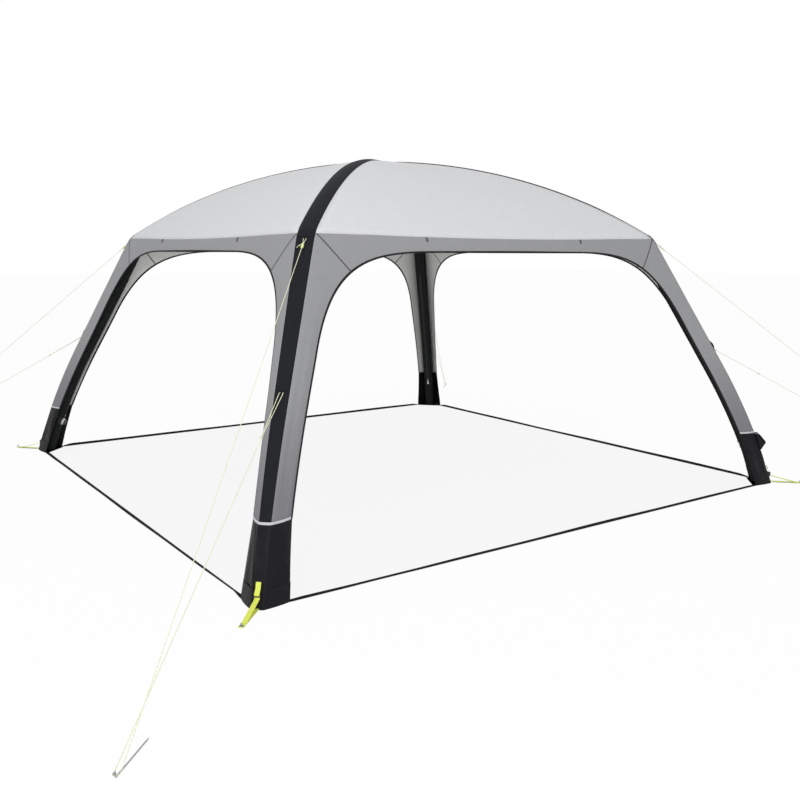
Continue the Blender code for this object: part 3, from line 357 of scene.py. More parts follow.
def hitch_route(z, half, across, distance, tail):
    """End of the cord: back from the loop, three turns round the run, and a short tail."""
    run = cord_run(z, across)
    along = way_down(run)
    aside = Vector((0, -1, 0))
    above = along.cross(aside).normalized()
    knot = run[0] + along * distance
    turns = []
    for k in range(HITCH_TURNS * TURN_STEPS + 1):
        a = math.tau * k / TURN_STEPS
        radial = (aside * math.cos(a) + above * math.sin(a)) * HITCH_WIDTH * CORD_RADIUS
        turns.append(knot + along * (HITCH_PITCH * k / TURN_STEPS) + radial)
    loose = [turns[-1] + (aside * 0.8 + along * 0.5) * (tail * t) - Vector((0, 0, tail * 0.3 * t * t))
             for t in (0.2, 0.4, 0.6, 0.8, 1.0)]
    return loop_turn(z, half)[:1] + turns + loose


def length_of(route):
    """Length of a line of points."""
    return sum((b - a).length for a, b in zip(route, route[1:]))


GUY_ROUTE = guy_route()
UPPER_END = hitch_route(EAVE_TAB_HEIGHT, UPPER_LOOP_HALF, 1, UPPER_HITCH - 0.002, tail=0.034)
LOWER_END = hitch_route(LEG_TAB_HEIGHT, LOWER_LOOP_HALF, -1, LOWER_HITCH, tail=0.012)
print("guy line:", [round(length_of(route), 3) for route in (GUY_ROUTE, UPPER_END, LOWER_END)], "m")

# %% [markdown]
# ## Woven cloth
#
# Tent cloth is a plain weave of polyester threads under a thin coating. Two crossed sine waves along the
# cloth's own UV coordinates, which are in metres, make the threads. The real threads are 0.4 mm apart and
# would vanish at this distance, so they are drawn ten times coarser. Two noises do the rest: a small one
# for the uneven coating and a long one for the soft creases that the bag has left. Low on the walls one more
# mix follows the height and paints shade into the cloth, for the black sleeve close behind it, which lets
# less light through.

# %% Woven cloth
CLOUD_SIZE = 0.05
THREAD_TONE = 0.12


def weave_height(tree, uv, pitch):
    """Height of a plain weave with its threads a pitch apart, from a UV map in metres."""
    split = add_node(tree, "SeparateXYZ", links={"Vector": uv})
    waves = []
    for axis in "XY":
        turns = add_node(tree, "Math", {1: math.pi / pitch}, {0: split.outputs[axis]}, operation="MULTIPLY")
        waves.append(add_node(tree, "Math", links={0: turns.outputs[0]}, operation="SINE"))
    return add_node(tree, "Math", links={0: waves[0].outputs[0], 1: waves[1].outputs[0]},
                    operation="MULTIPLY").outputs[0]


def cloth_material(name, dark, light, roughness, pitch, weave_depth, crease_depth, crease_size, shine=0.4):
    """Woven cloth between two close colours, with thread relief and creases in metres."""
    made, tree, shader = new_material(name, roughness, colour=light, Specular_IOR_Level=shine)
    spots = add_node(tree, "TexCoord").outputs
    coating = add_node(tree, "TexNoise", {"Scale": 1 / CLOUD_SIZE, "Detail": 4.0, "Roughness": 0.6},
                       {"Vector": spots["Object"]}).outputs["Fac"]
    creases = add_node(tree, "TexNoise", {"Scale": 1 / crease_size, "Detail": 3.0, "Roughness": 0.45},
                       {"Vector": spots["Object"]}).outputs["Fac"]
    threads = weave_height(tree, spots["UV"], pitch)
    tone = add_node(tree, "Math", {1: THREAD_TONE}, {0: threads, 2: coating}, operation="MULTIPLY_ADD")
    folds = add_node(tree, "Bump", {"Strength": 1.0, "Distance": crease_depth}, {"Height": creases})
    relief = add_node(tree, "Bump", {"Strength": 1.0, "Distance": weave_depth},
                      {"Height": threads, "Normal": folds.outputs[0]})
    finish_shader(tree, shader, dark, light, tone.outputs[0], relief, coating, spread=0.06)
    return made


def paint_low_shade(material, colour, low, high):
    """Mixes painted shade in below a height, where the black sleeve behind the cloth lets less light through it."""
    tree, shader = material.node_tree, material.node_tree.nodes["Principled BSDF"]
    plain = shader.inputs["Base Color"].links[0].from_socket
    place = add_node(tree, "TexCoord").outputs["Object"]
    split = add_node(tree, "SeparateXYZ", links={"Vector": place})
    share = add_node(tree, "MapRange", {"From Min": high, "From Max": low}, {"Value": split.outputs["Z"]},
                     interpolation_type="SMOOTHSTEP")
    both = add_node(tree, "Mix", {7: linear(colour)}, {"Factor": share.outputs[0], 6: plain},
                    data_type="RGBA")
    tree.links.new(both.outputs[2], shader.inputs["Base Color"])


# Coated 150 denier polyester, pale: satin, with the coating's faint clouds
roof_cloth = cloth_material("coated_polyester_pale", "#cfd0d3", "#d9dadb", 0.62, 0.004, 0.00012, 0.006, 0.35)
# The same cloth dyed mid grey, and its paler uncoated back, which is what shows inside and is painted paler still as
# painted light for the daylight through the thin cloth
wall_cloth = cloth_material("coated_polyester_mid", "#8d8e90", "#979799", 0.66, 0.004, 0.00014, 0.006, 0.30)
# Painted shade: a darker bluish grey towards the ground, for the black sleeve behind the thin cloth
paint_low_shade(wall_cloth, "#77767c", 0.30, 1.05)
# Painted light: the back's own pale grey is raised further for the light that comes through the cloth
uncoated_back_and_painted_light = cloth_material("polyester_back", "#d4d5d1", "#dcdcd8", 0.78, 0.004, 0.00014, 0.006, 0.30)
# 300 denier oxford, black with a little bloom: coarser threads and a soft sheen
band_cloth = cloth_material("oxford_black", "#191a1c", "#24252a", 0.70, 0.005, 0.00025, 0.004, 0.12, shine=0.08)
# PVC coated polyester: smoother and shinier, creased where it is folded away
boot_cloth = cloth_material("pvc_coated_black", "#0d0d10", "#1d1d21", 0.42, 0.005, 0.00018, 0.012, 0.10, shine=0.12)
# Soft polyester sleeve, matt and nearly black
sleeve_cloth = cloth_material("polyester_sleeve", "#1a1b1b", "#252627", 0.74, 0.004, 0.00020, 0.006, 0.08, shine=0.08)
print("cloths:", [m.name for m in bpy.data.materials if "poly" in m.name or "oxford" in m.name])

# %% [markdown]
# ## Webbing, cord, steel and moulded plastic
#
# Webbing has ribs across it, cord a winding braid, and both follow the piece's own UV map. Moulded
# plastic has a fine spark-eroded grain and zinc-plated wire a cloudy grey shine, so a noise in object
# coordinates is enough for those.

# %% Webbing and cord
def ribbed_material(name, dark, light, roughness, pitch, depth, slant=0.0):
    """Narrow woven tape: ribs across its length, slanted for a twill or a braid."""
    made, tree, shader = new_material(name, roughness, colour=light, Specular_IOR_Level=0.12)
    uv = add_node(tree, "TexCoord").outputs["UV"]
    split = add_node(tree, "SeparateXYZ", links={"Vector": uv})
    lean = add_node(tree, "Math", {1: slant}, {0: split.outputs["Y"]}, operation="MULTIPLY")
    run = add_node(tree, "Math", links={0: split.outputs["X"], 1: lean.outputs[0]}, operation="ADD")
    turns = add_node(tree, "Math", {1: math.tau / pitch}, {0: run.outputs[0]}, operation="MULTIPLY")
    rib = add_node(tree, "Math", links={0: turns.outputs[0]}, operation="SINE").outputs[0]
    tone = add_node(tree, "MapRange", {"From Min": -1.0, "From Max": 1.0}, {"Value": rib})
    relief = add_node(tree, "Bump", {"Strength": 1.0, "Distance": depth}, {"Height": rib})
    finish_shader(tree, shader, dark, light, tone.outputs[0], relief)
    return made


def grained_material(name, dark, light, roughness, grain, depth, metallic=0.0):
    """Moulded or plated surface with a noise grain of a size in metres."""
    made, tree, shader = new_material(name, roughness, metallic, light)
    place = add_node(tree, "TexCoord").outputs["Object"]
    noise = add_node(tree, "TexNoise", {"Scale": 1 / grain, "Detail": 3.0}, {"Vector": place}).outputs["Fac"]
    relief = add_node(tree, "Bump", {"Strength": 1.0, "Distance": depth}, {"Height": noise})
    finish_shader(tree, shader, dark, light, noise, relief, noise, spread=0.08)
    return made


# Polypropylene webbing, ribs 2 mm apart
black_webbing = ribbed_material("webbing_black", "#101012", "#1c1c1e", 0.8, 0.002, 0.0002)
yellow_webbing = ribbed_material("webbing_yellow", "#dbe653", "#eaf37c", 0.7, 0.002, 0.0002)
# Grosgrain tape that binds the cloth's raw edges
binding_tape = ribbed_material("grosgrain_dark", "#202023", "#2c2c30", 0.8, 0.0015, 0.00015)
# Braided polyester cord: in its UV map one unit is the whole length, so the pitch is a share of it
BRAID_PITCH = 0.008 / 4.7
guy_braid = ribbed_material("braid_yellow", "#d8dcb2", "#f0f1d9", 0.6, BRAID_PITCH, 0.0002, slant=BRAID_PITCH)
# Retroreflective piping: glass beads under a clear film, grey until a lamp meets it
reflective_piping = grained_material("reflective_piping", "#b4b3b9", "#d2d1d6", 0.35, 0.002, 0.00005)
# Sewing thread laid over the seams
seam_thread = ribbed_material("seam_thread_grey", "#565659", "#66666a", 0.8, 0.004, 0.0001)
# Zinc-plated steel wire
plated_steel = grained_material("zinc_plated_steel", "#9da0a5", "#c2c4c8", 0.32, 0.004, 0.00003, metallic=1.0)
# Moulded acetal and nylon, with the fine grain of a spark-eroded mould
MOULD = {"grain": 0.0006, "depth": 0.00003}
black_acetal = grained_material("acetal_black", "#1c1c1e", "#2a2a2d", 0.42, **MOULD)
yellow_nylon = grained_material("nylon_yellow", "#d2d98c", "#e2e7a4", 0.42, **MOULD)
grey_nylon = grained_material("nylon_grey", "#7c7e80", "#8e9092", 0.38, **MOULD)
pale_nylon = grained_material("nylon_pale", "#c9cacb", "#dcdcdd", 0.40, **MOULD)
# The coil of a zip
zip_nylon = grained_material("nylon_coil_grey", "#242527", "#303133", 0.55, **MOULD)
# Polyurethane film of the bladder, hidden in its sleeves
bladder_film = grained_material("polyurethane_film", "#c4c9cc", "#d6dadc", 0.25, 0.03, 0.0005)
print("materials:", len(bpy.data.materials))

# %% [markdown]
# ## The cloth's surface
#
# Each side of the tent is one continuous curved surface. Along the bands it follows the beams, soft bend
# included, while halfway between them the same cloth folds more sharply over the eave and hangs a
# little lower. Any point on it is found from its distance from the middle and its length down the beam.

# %% Surface of a side
BAND_WIDTH_EAVE = 0.099
BAND_WIDTH_FOOT = 0.060
PANEL_SAG = 0.022
SEAM_FOOT_HEIGHT = EAVE_HEIGHT - 0.21
EDGE_TUCK = 0.040
EDGE_TUCK_HEIGHT = 0.71
SOFT_SHARE = 0.3
CLOTH = 0.0012


def clamp(value):
    """The value, kept between 0 and 1."""
    return min(max(value, 0), 1)


def sharp_line():
    """The ridge's points with the eave's bend replaced by a corner."""
    sharp = RIDGE.copy()
    corner = np.array((EAVE_RIDGE, EAVE_HEIGHT))
    first, last = RIDGE[FOLD_FIRST], RIDGE[FOLD_LAST]
    for i in range(FOLD_FIRST, FOLD_LAST + 1):
        if RUN[i] < EAVE_RUN:
            sharp[i] = first + (corner - first) * (RUN[i] - FOLD_START_RUN) / (EAVE_RUN - FOLD_START_RUN)
        else:
            sharp[i] = corner + (last - corner) * (RUN[i] - EAVE_RUN) / (FOLD_END_RUN - EAVE_RUN)
    return sharp


SHARP = sharp_line()


def band_width(z):
    """Width of the black band at a height."""
    share = clamp((z - BOOT_HEIGHT) / (EAVE_HEIGHT - BOOT_HEIGHT))
    return BAND_WIDTH_FOOT + (BAND_WIDTH_EAVE - BAND_WIDTH_FOOT) * share


def side_profile(line, run):
    """Distance of the cloth from the middle plane, and its height, at a length along a line."""
    r, z = (float(np.interp(run, RUN, line[:, axis])) for axis in (0, 1))
    return (r + band_width(z) / 2) / ROOT2, z


def half_width(run):
    """Half the distance between the two bands across a side."""
    out, z = side_profile(RIDGE, run)
    return out - ROOT2 * band_width(z) / 2


EAVE_OUT = side_profile(RIDGE, EAVE_RUN)[0]


def edge_tuck(z):
    """How far the free edge of a side is drawn in behind the beams at a height."""
    return EDGE_TUCK * max(1 - ((z - EDGE_TUCK_HEIGHT) / (EAVE_HEIGHT - EDGE_TUCK_HEIGHT)) ** 2, 0)


def cloth_point(x, run, tuck=0.0, lift=0.0):
    """Point of the side at -Y, x across and a length down the beam, drawn in and lifted off the cloth."""
    share = min(abs(x) / max(half_width(run), 1e-6), 1)
    middle = min((1 - share) / SOFT_SHARE, 1)
    middle = middle * middle * (3 - 2 * middle)
    soft, hard = side_profile(RIDGE, run), side_profile(SHARP, run)
    out = soft[0] + (hard[0] - soft[0]) * middle
    z = soft[1] + (hard[1] - soft[1]) * middle
    if run <= EAVE_RUN:
        sag = (out / EAVE_OUT) ** 2
    else:
        sag = max((z - SEAM_FOOT_HEIGHT) / (EAVE_HEIGHT - SEAM_FOOT_HEIGHT), 0)
    normal = outward(run)
    hang = PANEL_SAG * sag * (1 - share * share)
    return Vector((x, tuck - out - lift * normal.x, z + lift * normal.y - hang))


def cloth_sheet(name, columns, rows, place):
    """Grid of cloth. place gives the point for shares across and down it, and its own UV in metres."""
    bm = bmesh.new()
    bmesh.ops.create_grid(bm, x_segments=columns, y_segments=rows, size=0.5)
    layer = bm.loops.layers.uv.new("UVMap")
    spots = {vert: place(vert.co.x + 0.5, vert.co.y + 0.5) for vert in bm.verts}
    for vert, (point, _) in spots.items():
        vert.co = point
    for face in bm.faces:
        for loop in face.loops:
            loop[layer].uv = spots[loop.vert][1]
    centre = sum((vert.co for vert in bm.verts), Vector()) / len(bm.verts)
    bm.normal_update()
    out = Vector((centre.x, centre.y, 0.6))
    if sum(face.normal.dot(out) * face.calc_area() for face in bm.faces) < 0:
        bmesh.ops.reverse_faces(bm, faces=bm.faces)
    mesh = bpy.data.meshes.new(name)
    bm.to_mesh(mesh)
    bm.free()
    mesh.shade_smooth()
    return mesh


print("eave half width:", round(half_width(EAVE_RUN), 3), "m")

# %% [markdown]
# ## Roof gores
#
# Four gores of pale cloth meet under the bands at the crown. A gore is a grid from the point where the
# bands cross to the eave, wide at the bottom and closing to nothing at the top, so it is drawn from a
# square grid whose rows shrink. It is cloth cut flat and pulled over the beams.

# %% Roof gores
CROWN_RUN = float(np.interp(BAND_WIDTH_EAVE / 2, RIDGE[:, 0], RUN))
BANDS = ["outer_band_left_front", "outer_band_right_front"]


def gore_place(u, v):
    run = CROWN_RUN + (EAVE_RUN - CROWN_RUN) * v
    x = (2 * u - 1) * half_width(run)
    return cloth_point(x, run), (x, run)


gore_mesh = cloth_sheet("roof_gore", 48, 44, gore_place)
GORE_FLAT = (2 * half_width(EAVE_RUN), EAVE_RUN - CROWN_RUN)
# A little more than a triangle, because its long edges bow outwards
for gore in around(SIDES, "roof_gore_{}", gore_mesh, roof_cloth, slot="roof_polyester",
                   replaces=["roof_panel_{}"], wall=CLOTH):
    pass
print("gore cut from:", [round(v, 2) for v in GORE_FLAT], "m")

# %% [markdown]
# ## Arch edge
#
# The free edge of a side runs up one leg, over the opening and down the other. A cubic curve between the
# spring line and the flat top gives the rounded shoulder. A sewn edge is cut for the shape it takes when
# it is pulled tight, so the points are given where they end up, and the cloth's own sag is taken off.

# %% Arch edge
ARCH_TOP = EAVE_HEIGHT - 0.104
ARCH_SPRING = 1.08
ARCH_FLAT_HALF = 0.61
ARCH_LEG_PULL, ARCH_TOP_PULL = 0.83, 0.55
WING_FOOT, WING_BOOT_TOP, WING_SPRING = 0.191, 0.171, 0.197
LEG_STEPS, HEAD_STEPS, TOP_STEPS = 40, 60, 12


def out_at_height(z):
    """Distance of the cloth from the middle plane at a height on the leg."""
    return side_profile(RIDGE, run_at_height(z))[0]


def leg_edge(z):
    """Edge along a leg in x and z, from the boot up to the spring line."""
    share = (z - BOOT_HEIGHT) / (ARCH_SPRING - BOOT_HEIGHT)
    return Vector((out_at_height(z) - WING_BOOT_TOP - (WING_SPRING - WING_BOOT_TOP) * share, z))


def arch_curve(t):
    """Head of the arch in x and z, from the spring line at 0 to the flat top at 1."""
    a, d = leg_edge(ARCH_SPRING), Vector((ARCH_FLAT_HALF, ARCH_TOP))
    lean = (leg_edge(BOOT_HEIGHT).x - a.x) / (ARCH_SPRING - BOOT_HEIGHT)
    b = a + Vector((-lean, 1)) * ARCH_LEG_PULL * (ARCH_TOP - ARCH_SPRING)
    c = d + Vector((ARCH_TOP_PULL * (a.x - ARCH_FLAT_HALF), 0))
    s = 1 - t
    return a * s ** 3 + b * 3 * s * s * t + c * 3 * s * t * t + d * t ** 3


def unsagged(point):
    """Place on the cloth before its sag, so that it hangs where the point is."""
    if point.y <= SEAM_FOOT_HEIGHT:
        return point
    share = min(abs(point.x) / half_width(run_at_height(point.y)), 1)
    pull = PANEL_SAG / (EAVE_HEIGHT - SEAM_FOOT_HEIGHT) * (1 - share * share)
    return Vector((point.x, (point.y - pull * SEAM_FOOT_HEIGHT) / (1 - pull)))


def arch_samples():
    """Right half of the edge, close together: from the boot up to the middle of the opening."""
    leg = [leg_edge(BOOT_HEIGHT + (ARCH_SPRING - BOOT_HEIGHT) * i / LEG_STEPS) for i in range(LEG_STEPS)]
    head = [arch_curve(i / HEAD_STEPS) for i in range(HEAD_STEPS)]
    top = [Vector((ARCH_FLAT_HALF * (1 - i / TOP_STEPS), ARCH_TOP)) for i in range(TOP_STEPS + 1)]
    return leg + head + top


ARCH_HEIGHTS = np.array([p.y for p in arch_samples()])
ARCH = np.array([tuple(unsagged(p)) for p in arch_samples()])
ARCH_LENGTH = travel_along(ARCH)
RISING = LEG_STEPS + HEAD_STEPS + 1
SEAM_FOOT = float(np.interp(SEAM_FOOT_HEIGHT, ARCH[:RISING, 1], ARCH_LENGTH[:RISING]))


def arch_at(length):
    """x, length down the beam and tuck of the right half's edge, a length up from the boot."""
    x, z, height = (float(np.interp(length, ARCH_LENGTH, row)) for row in (*ARCH.T, ARCH_HEIGHTS))
    return x, run_at_height(z), edge_tuck(height)


print("edge of an arch:", round(2 * ARCH_LENGTH[-1], 2), "m")

# %% [markdown]
# ## Walls
#
# Below the eave a side is one sheet in the shape of a wide arch: two wings beside the bands, joined by
# the valance. The grid follows that shape, with its columns running from the outer seam to the free
# edge, so the diagonal seams fall exactly on a column. Two crossed waves give the wings long shallow
# folds that rise from the boot. The back of the cloth is uncoated and paler, and painted paler still as
# painted light for the daylight that comes through it; it gets its own material through the Solidify
# modifier's material offset.

# %% Wall sheets
WING_SHARE = 0.34
FOLD_DEPTH = 0.0034


def wall_uv(v, across):
    """x, length down the beam and tuck: v along the arch, across from the seam to the free edge."""
    mirror = -1 if v < 0.5 else 1
    along = 1 - abs(2 * v - 1)
    if along < 2 * WING_SHARE:
        part = along / (2 * WING_SHARE)
        outer_run = BOOT_RUN + (EAVE_RUN - BOOT_RUN) * part
        outer_x = half_width(outer_run)
        edge_x, edge_run, tuck = arch_at(SEAM_FOOT * part)
    else:
        part = (along - 2 * WING_SHARE) / (1 - 2 * WING_SHARE)
        outer_run = EAVE_RUN
        outer_x = half_width(EAVE_RUN) * (1 - part)
        edge_x, edge_run, tuck = arch_at(SEAM_FOOT + (ARCH_LENGTH[-1] - SEAM_FOOT) * part)
    x = outer_x + (edge_x - outer_x) * across
    return mirror * x, outer_run + (edge_run - outer_run) * across, tuck * across * across


def wing_folds(u, across):
    """Long shallow folds that rise from the boot and fade towards the shoulder."""
    up = min((1 - abs(2 * u - 1)) / (2 * WING_SHARE), 1)
    hold = math.sin(math.pi * across) * (1 - up) ** 1.3 * min(up / 0.06, 1)
    wave = math.sin(9.5 * across + 2.2 * up + 0.4) + 0.4 * math.sin(19 * across - 5 * up)
    return -FOLD_DEPTH * hold * (1.4 - wave)


def wall_place(u, v):
    x, run, tuck = wall_uv(u, v)
    return cloth_point(x, run, tuck, wing_folds(u, v)), (x, run)


wall_mesh = cloth_sheet("wall", 150, 20, wall_place)
WALL_FLAT = (0.22, 2 * (BOOT_RUN - EAVE_RUN) + 2 * half_width(EAVE_RUN))
for wall in around(SIDES, "wall_{}", wall_mesh, wall_cloth, uncoated_back_and_painted_light, slot="wall_polyester", wall=CLOTH, back=1,
                   replaces=["eave_panel_{}", "leg_panel_{}_left", "leg_panel_{}_right"]):
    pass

# %% [markdown]
# ## Edge binding and diagonal seams
#
# A dark grosgrain tape is folded over the raw edge of every arch, half on each side of the cloth. It is
# a ribbon laid along the edge and thickened both ways. The diagonal seams are felled flat, so they show
# as a narrow raised line of darker thread on both faces of the cloth.

# %% Binding and seams
BINDING_WIDTH = 0.013
BINDING_WALL = 0.003
BINDING_OVERHANG = 0.002
SEAM_WIDTH = 0.009
SEAM_WALL = 0.0028


def binding_place(u, v):
    """Ribbon along the free edge, from one boot to the other."""
    column = min(max(u, 1e-4), 1 - 1e-4)
    near_edge = (cloth_point(*wall_uv(column, 0.9)) - cloth_point(*wall_uv(column, 1.0))).length
    step = (BINDING_WIDTH * v - BINDING_OVERHANG) / near_edge * 0.1
    x, run, tuck = wall_uv(column, 1.0 - step)
    return cloth_point(x, run, tuck, -CLOTH / 2), (u * 2 * float(ARCH_LENGTH[-1]), v * BINDING_WIDTH)


def seam_place(mirror):
    """Ribbon from the corner of the eave down to the foot of the seam on the arch."""
    corner, foot = (half_width(EAVE_RUN), EAVE_RUN), arch_at(SEAM_FOOT)

    def place(u, v):
        part = 0.01 + 0.97 * u
        aside = (v - 0.5) * SEAM_WIDTH * 0.7
        x, run = (corner[i] + (foot[i] - corner[i]) * part + aside for i in (0, 1))
        return cloth_point(mirror * x, run, foot[2] * part * part, -CLOTH / 2), (u * 0.3, v * 0.006)
    return place


binding_mesh = cloth_sheet("arch_binding", 190, 1, binding_place)
around(SIDES, "arch_binding_{}", binding_mesh, binding_tape, slot="wall_polyester", wall=BINDING_WALL, both_ways=True)
for end, mirror in (("left", -1), ("right", 1)):
    seam_mesh = cloth_sheet("seam", 16, 1, seam_place(mirror))
    around(SIDES, "seam_{}_" + end, seam_mesh, seam_thread, slot="wall_polyester", wall=SEAM_WALL, both_ways=True)
print("binding:", len(binding_mesh.polygons), "faces")

# %% [markdown]
# ## Bands over the beams
#
# A black band covers each beam from boot to boot. The beam pushes it up in the middle, so it is a grid
# bent over a low crown, with its edges flat where they are sewn to the gores. One band passes over the
# other at the top of the tent.

# %% Bands
BAND_CROWN = 0.0045
BAND_CROWN_ROOF = 0.010
BAND_WALL = 0.0016
CROSSING_RISE = 0.0038


def on_leg(spot, across):
    """Point in the frame of a leg, from its place in the leg's plane and its distance across."""
    return Vector((spot.x, across, spot.y))


def up_from(run):
    """Outward direction, upright at the very crown, where the ridge has no side."""
    return outward(run) if run > 0.012 else Vector((0, 1))


def band_place(raised):
    def place(u, v):
        signed = (2 * u - 1) * (BOOT_RUN - 0.001)
        run = abs(signed)
        point, normal = ridge(run), up_from(run)
        across = (v - 0.5) * band_width(point.y)
        crown = BAND_CROWN + (BAND_CROWN_ROOF - BAND_CROWN) * clamp((FOLD_START_RUN - run) / 0.4)
        height = crown * clamp((run - 0.05) / 0.08) * (1 - (2 * v - 1) ** 2)
        if raised:
            height += CROSSING_RISE * (1 - clamp((run - 0.07) / 0.12))
        x = math.copysign(point.x, signed) + math.copysign(normal.x, signed) * height
        return Vector((x, across, point.y + normal.y * height)), (signed, across)
    return place


for name, leg, raised in zip(BANDS, ("front_left", "front_right"), (True, False)):
    around({leg: LEGS[leg]}, name.replace("outer_", "cloth_"), cloth_sheet(name, 260, 8, band_place(raised)),
           band_cloth, slot="band_oxford", replaces=[name], wall=BAND_WALL)
print("band length:", round(2 * BOOT_RUN, 2), "m")

# %% [markdown]
# ## Boots
#
# A boot is a V of coated cloth that wraps the foot of a leg: two wings and a narrow corner, standing on a
# floor patch. The cloth is stiff and creases in soft upright folds, so a sum of a few waves moves the
# grid in and out, and fades at the top and bottom seams that hold it. One sharper crease runs down beside
# the corner. The hem is a second, stiffer layer, so it takes half of the folds.

# %% Boots
HALF_CORNER = BAND_WIDTH_FOOT / 2
BOOT_WALL = 0.0022
FOLD_SWING, FOLD_RIDGE = 0.0042, 0.0055
CREASE_PLACE, CREASE_HALF, CREASE_DEPTH = 0.038, 0.005, 0.008
HEM_HEIGHT = 0.0875
HEM_PROUD = 0.0025
FLOOR_LIFT = 0.0002
PATCH_INSET = 0.03
PATCH_WALL = 0.003


def wing_reach(z):
    """Width of the boot's wing beside the corner, at a height."""
    return WING_FOOT + (WING_BOOT_TOP - WING_FOOT) * z / BOOT_HEIGHT - BAND_WIDTH_FOOT / ROOT2


def boot_face(q, z, push=0.0):
    """Point of the boot in the plan of a leg: q runs along it from the middle of the corner."""
    r = leg_ridge(z) + push
    if abs(q) <= HALF_CORNER:
        return Vector((r, q, z))
    rest = abs(q) - HALF_CORNER
    tuck = edge_tuck(z) * (rest / wing_reach(z)) ** 2 / ROOT2
    return Vector((r - rest / ROOT2 - tuck, math.copysign(HALF_CORNER + rest / ROOT2 - tuck, q), z))


def corner_crown(q, z):
    """How far the beam pushes the boot's corner out near its top, as it does the band above."""
    share = min(abs(q) / HALF_CORNER, 1)
    return BAND_CROWN * (1 - share * share) * clamp((z / BOOT_HEIGHT - 0.6) / 0.4)


def boot_folds(q, z):
    """Depth of the upright folds and the crease, none at the seams and little at the corner."""
    swell = math.sin(math.pi * clamp(z / BOOT_HEIGHT))
    hold = swell ** 0.7 * clamp((abs(q) - 0.02) / 0.03)
    wave = math.sin(38 * q + 5.1 * z + 0.6) + 0.6 * math.sin(75 * q - 9 * z) + 0.6 * math.sin(17 * z + 26 * q)
    ridge_up = abs(math.sin(19 * q + 4 * z + 1.1)) ** 6
    beside = q + CREASE_PLACE + 0.05 * (z / BOOT_HEIGHT - 0.5)
    crease = swell ** 0.4 * math.exp(-(beside / CREASE_HALF) ** 2)
    return FOLD_SWING * hold * (wave - 1.0) + FOLD_RIDGE * hold * ridge_up - CREASE_DEPTH * crease


def boot_place(u, v):
    z = BOOT_HEIGHT * v
    q = (2 * u - 1) * (HALF_CORNER + wing_reach(z))
    return boot_face(q, z, boot_folds(q, z) + corner_crown(q, z)), (q, z)


def hem_place(u, v):
    """Second layer of cloth round the foot, stiffer and less creased."""
    z = 0.0012 + (HEM_HEIGHT - 0.0012) * v
    q = (2 * u - 1) * (HALF_CORNER + wing_reach(z) + 0.003 * v)
    return boot_face(q, z, HEM_PROUD + 0.5 * max(boot_folds(q, z), -0.002) * v), (q, z)


def floor_patch_mesh():
    """Flat patch that closes the V on the ground, drawn as one face and given its wall."""
    reach, step = HALF_CORNER + wing_reach(0), PATCH_INSET / ROOT2
    outer = [boot_face(q, 0.0, -0.001) for q in (-reach, -HALF_CORNER, HALF_CORNER, reach)]
    inner = [outer[3] + Vector((-step, -step, 0)), outer[0] + Vector((-step, step, 0))]
    bm = bmesh.new()
    face = bm.faces.new([bm.verts.new((*p.xy, FLOOR_LIFT)) for p in outer + inner])
    bmesh.ops.solidify(bm, geom=[face], thickness=PATCH_WALL)
    bmesh.ops.translate(bm, verts=bm.verts, vec=(0, 0, FLOOR_LIFT - min(vert.co.z for vert in bm.verts)))
    return close_mesh("boot_floor", bm)


boot_mesh = cloth_sheet("boot_cloth", 160, 60, boot_place)
hem_mesh = cloth_sheet("boot_hem", 96, 12, hem_place)
around(LEGS, "boot_cloth_{}", boot_mesh, boot_cloth, slot="boot_pvc", replaces=["boot_{}"], wall=BOOT_WALL)
around(LEGS, "boot_hem_{}", hem_mesh, boot_cloth, slot="boot_pvc", wall=BOOT_WALL)
around(LEGS, "boot_floor_{}", floor_patch_mesh(), boot_cloth, slot="boot_pvc")
print("boot:", len(boot_mesh.polygons), "faces")

# %% [markdown]
# ## Sleeves
#
# Under each band a fabric sleeve holds the air beam. It is a tube swept along the beam's middle: a grid
# rolled up until its long edges meet, and then merged. Small gathers ring it where the zip pulls, and
# they grow where the beam bends at the eave. The band pulls its sides in, so it is a little oval. The
# bladder in it is the same tube, one wall smaller and smooth, and the four of each meet at the crown.

# %% Sleeves
BEAM_RADIUS = 0.0575
SLEEVE_OVAL = 0.82
BEAM_DEPTH = 0.003 + GAP + BEAM_RADIUS
BLADDER_INSET = 0.003
BEND_REACH = 0.14
GATHER, BEND_GATHER = 0.0004, 0.0012


def tube_place(wall, gathered):
    """Round of a tube along the beam, its wall a distance inside the sleeve."""
    def place(u, v):
        run = (FOOT_RUN - 0.006) * u
        angle = math.tau * v
        point, normal = ridge(run), up_from(run)
        bend = math.exp(-((run - EAVE_RUN) / BEND_REACH) ** 2)
        ripple = math.sin(run * 260 + 2 * math.sin(3 * angle))
        gather = (GATHER + BEND_GATHER * bend) * ripple - GATHER * (1 + bend)
        radius = BEAM_RADIUS - wall + gathered * gather * (1 - abs(math.cos(angle)) * 0.5)
        around_beam = point - normal * BEAM_DEPTH + normal * radius * math.cos(angle)
        height = max(around_beam.y, 0.0045 + wall)
        return Vector((around_beam.x, SLEEVE_OVAL * radius * math.sin(angle), height)), (run, BEAM_RADIUS * angle)
    return place


def tube_mesh(name, rows, wall, gathered):
    """Rolled grid with its long edges merged and its ends closed."""
    bm = bmesh.new()
    bm.from_mesh(cloth_sheet(name, rows, 28, tube_place(wall, gathered)))
    bmesh.ops.remove_doubles(bm, verts=bm.verts, dist=1e-5)
    bmesh.ops.holes_fill(bm, edges=[edge for edge in bm.edges if edge.is_boundary])
    return close_mesh(name, bm, 50)


sleeve_tube = tube_mesh("beam_sleeve", 420, 0.0, 1.0)
bladder_tube = tube_mesh("beam_bladder", 160, BLADDER_INSET, 0.0)
around(LEGS, "sleeve_{}", sleeve_tube, sleeve_cloth, slot="sleeve_polyester", replaces=["beam_sleeve_{}"])
around(LEGS, "bladder_{}", bladder_tube, bladder_film, slot="bladder_film", replaces=["air_bladder"])
print("sleeve:", len(sleeve_tube.polygons), "faces")

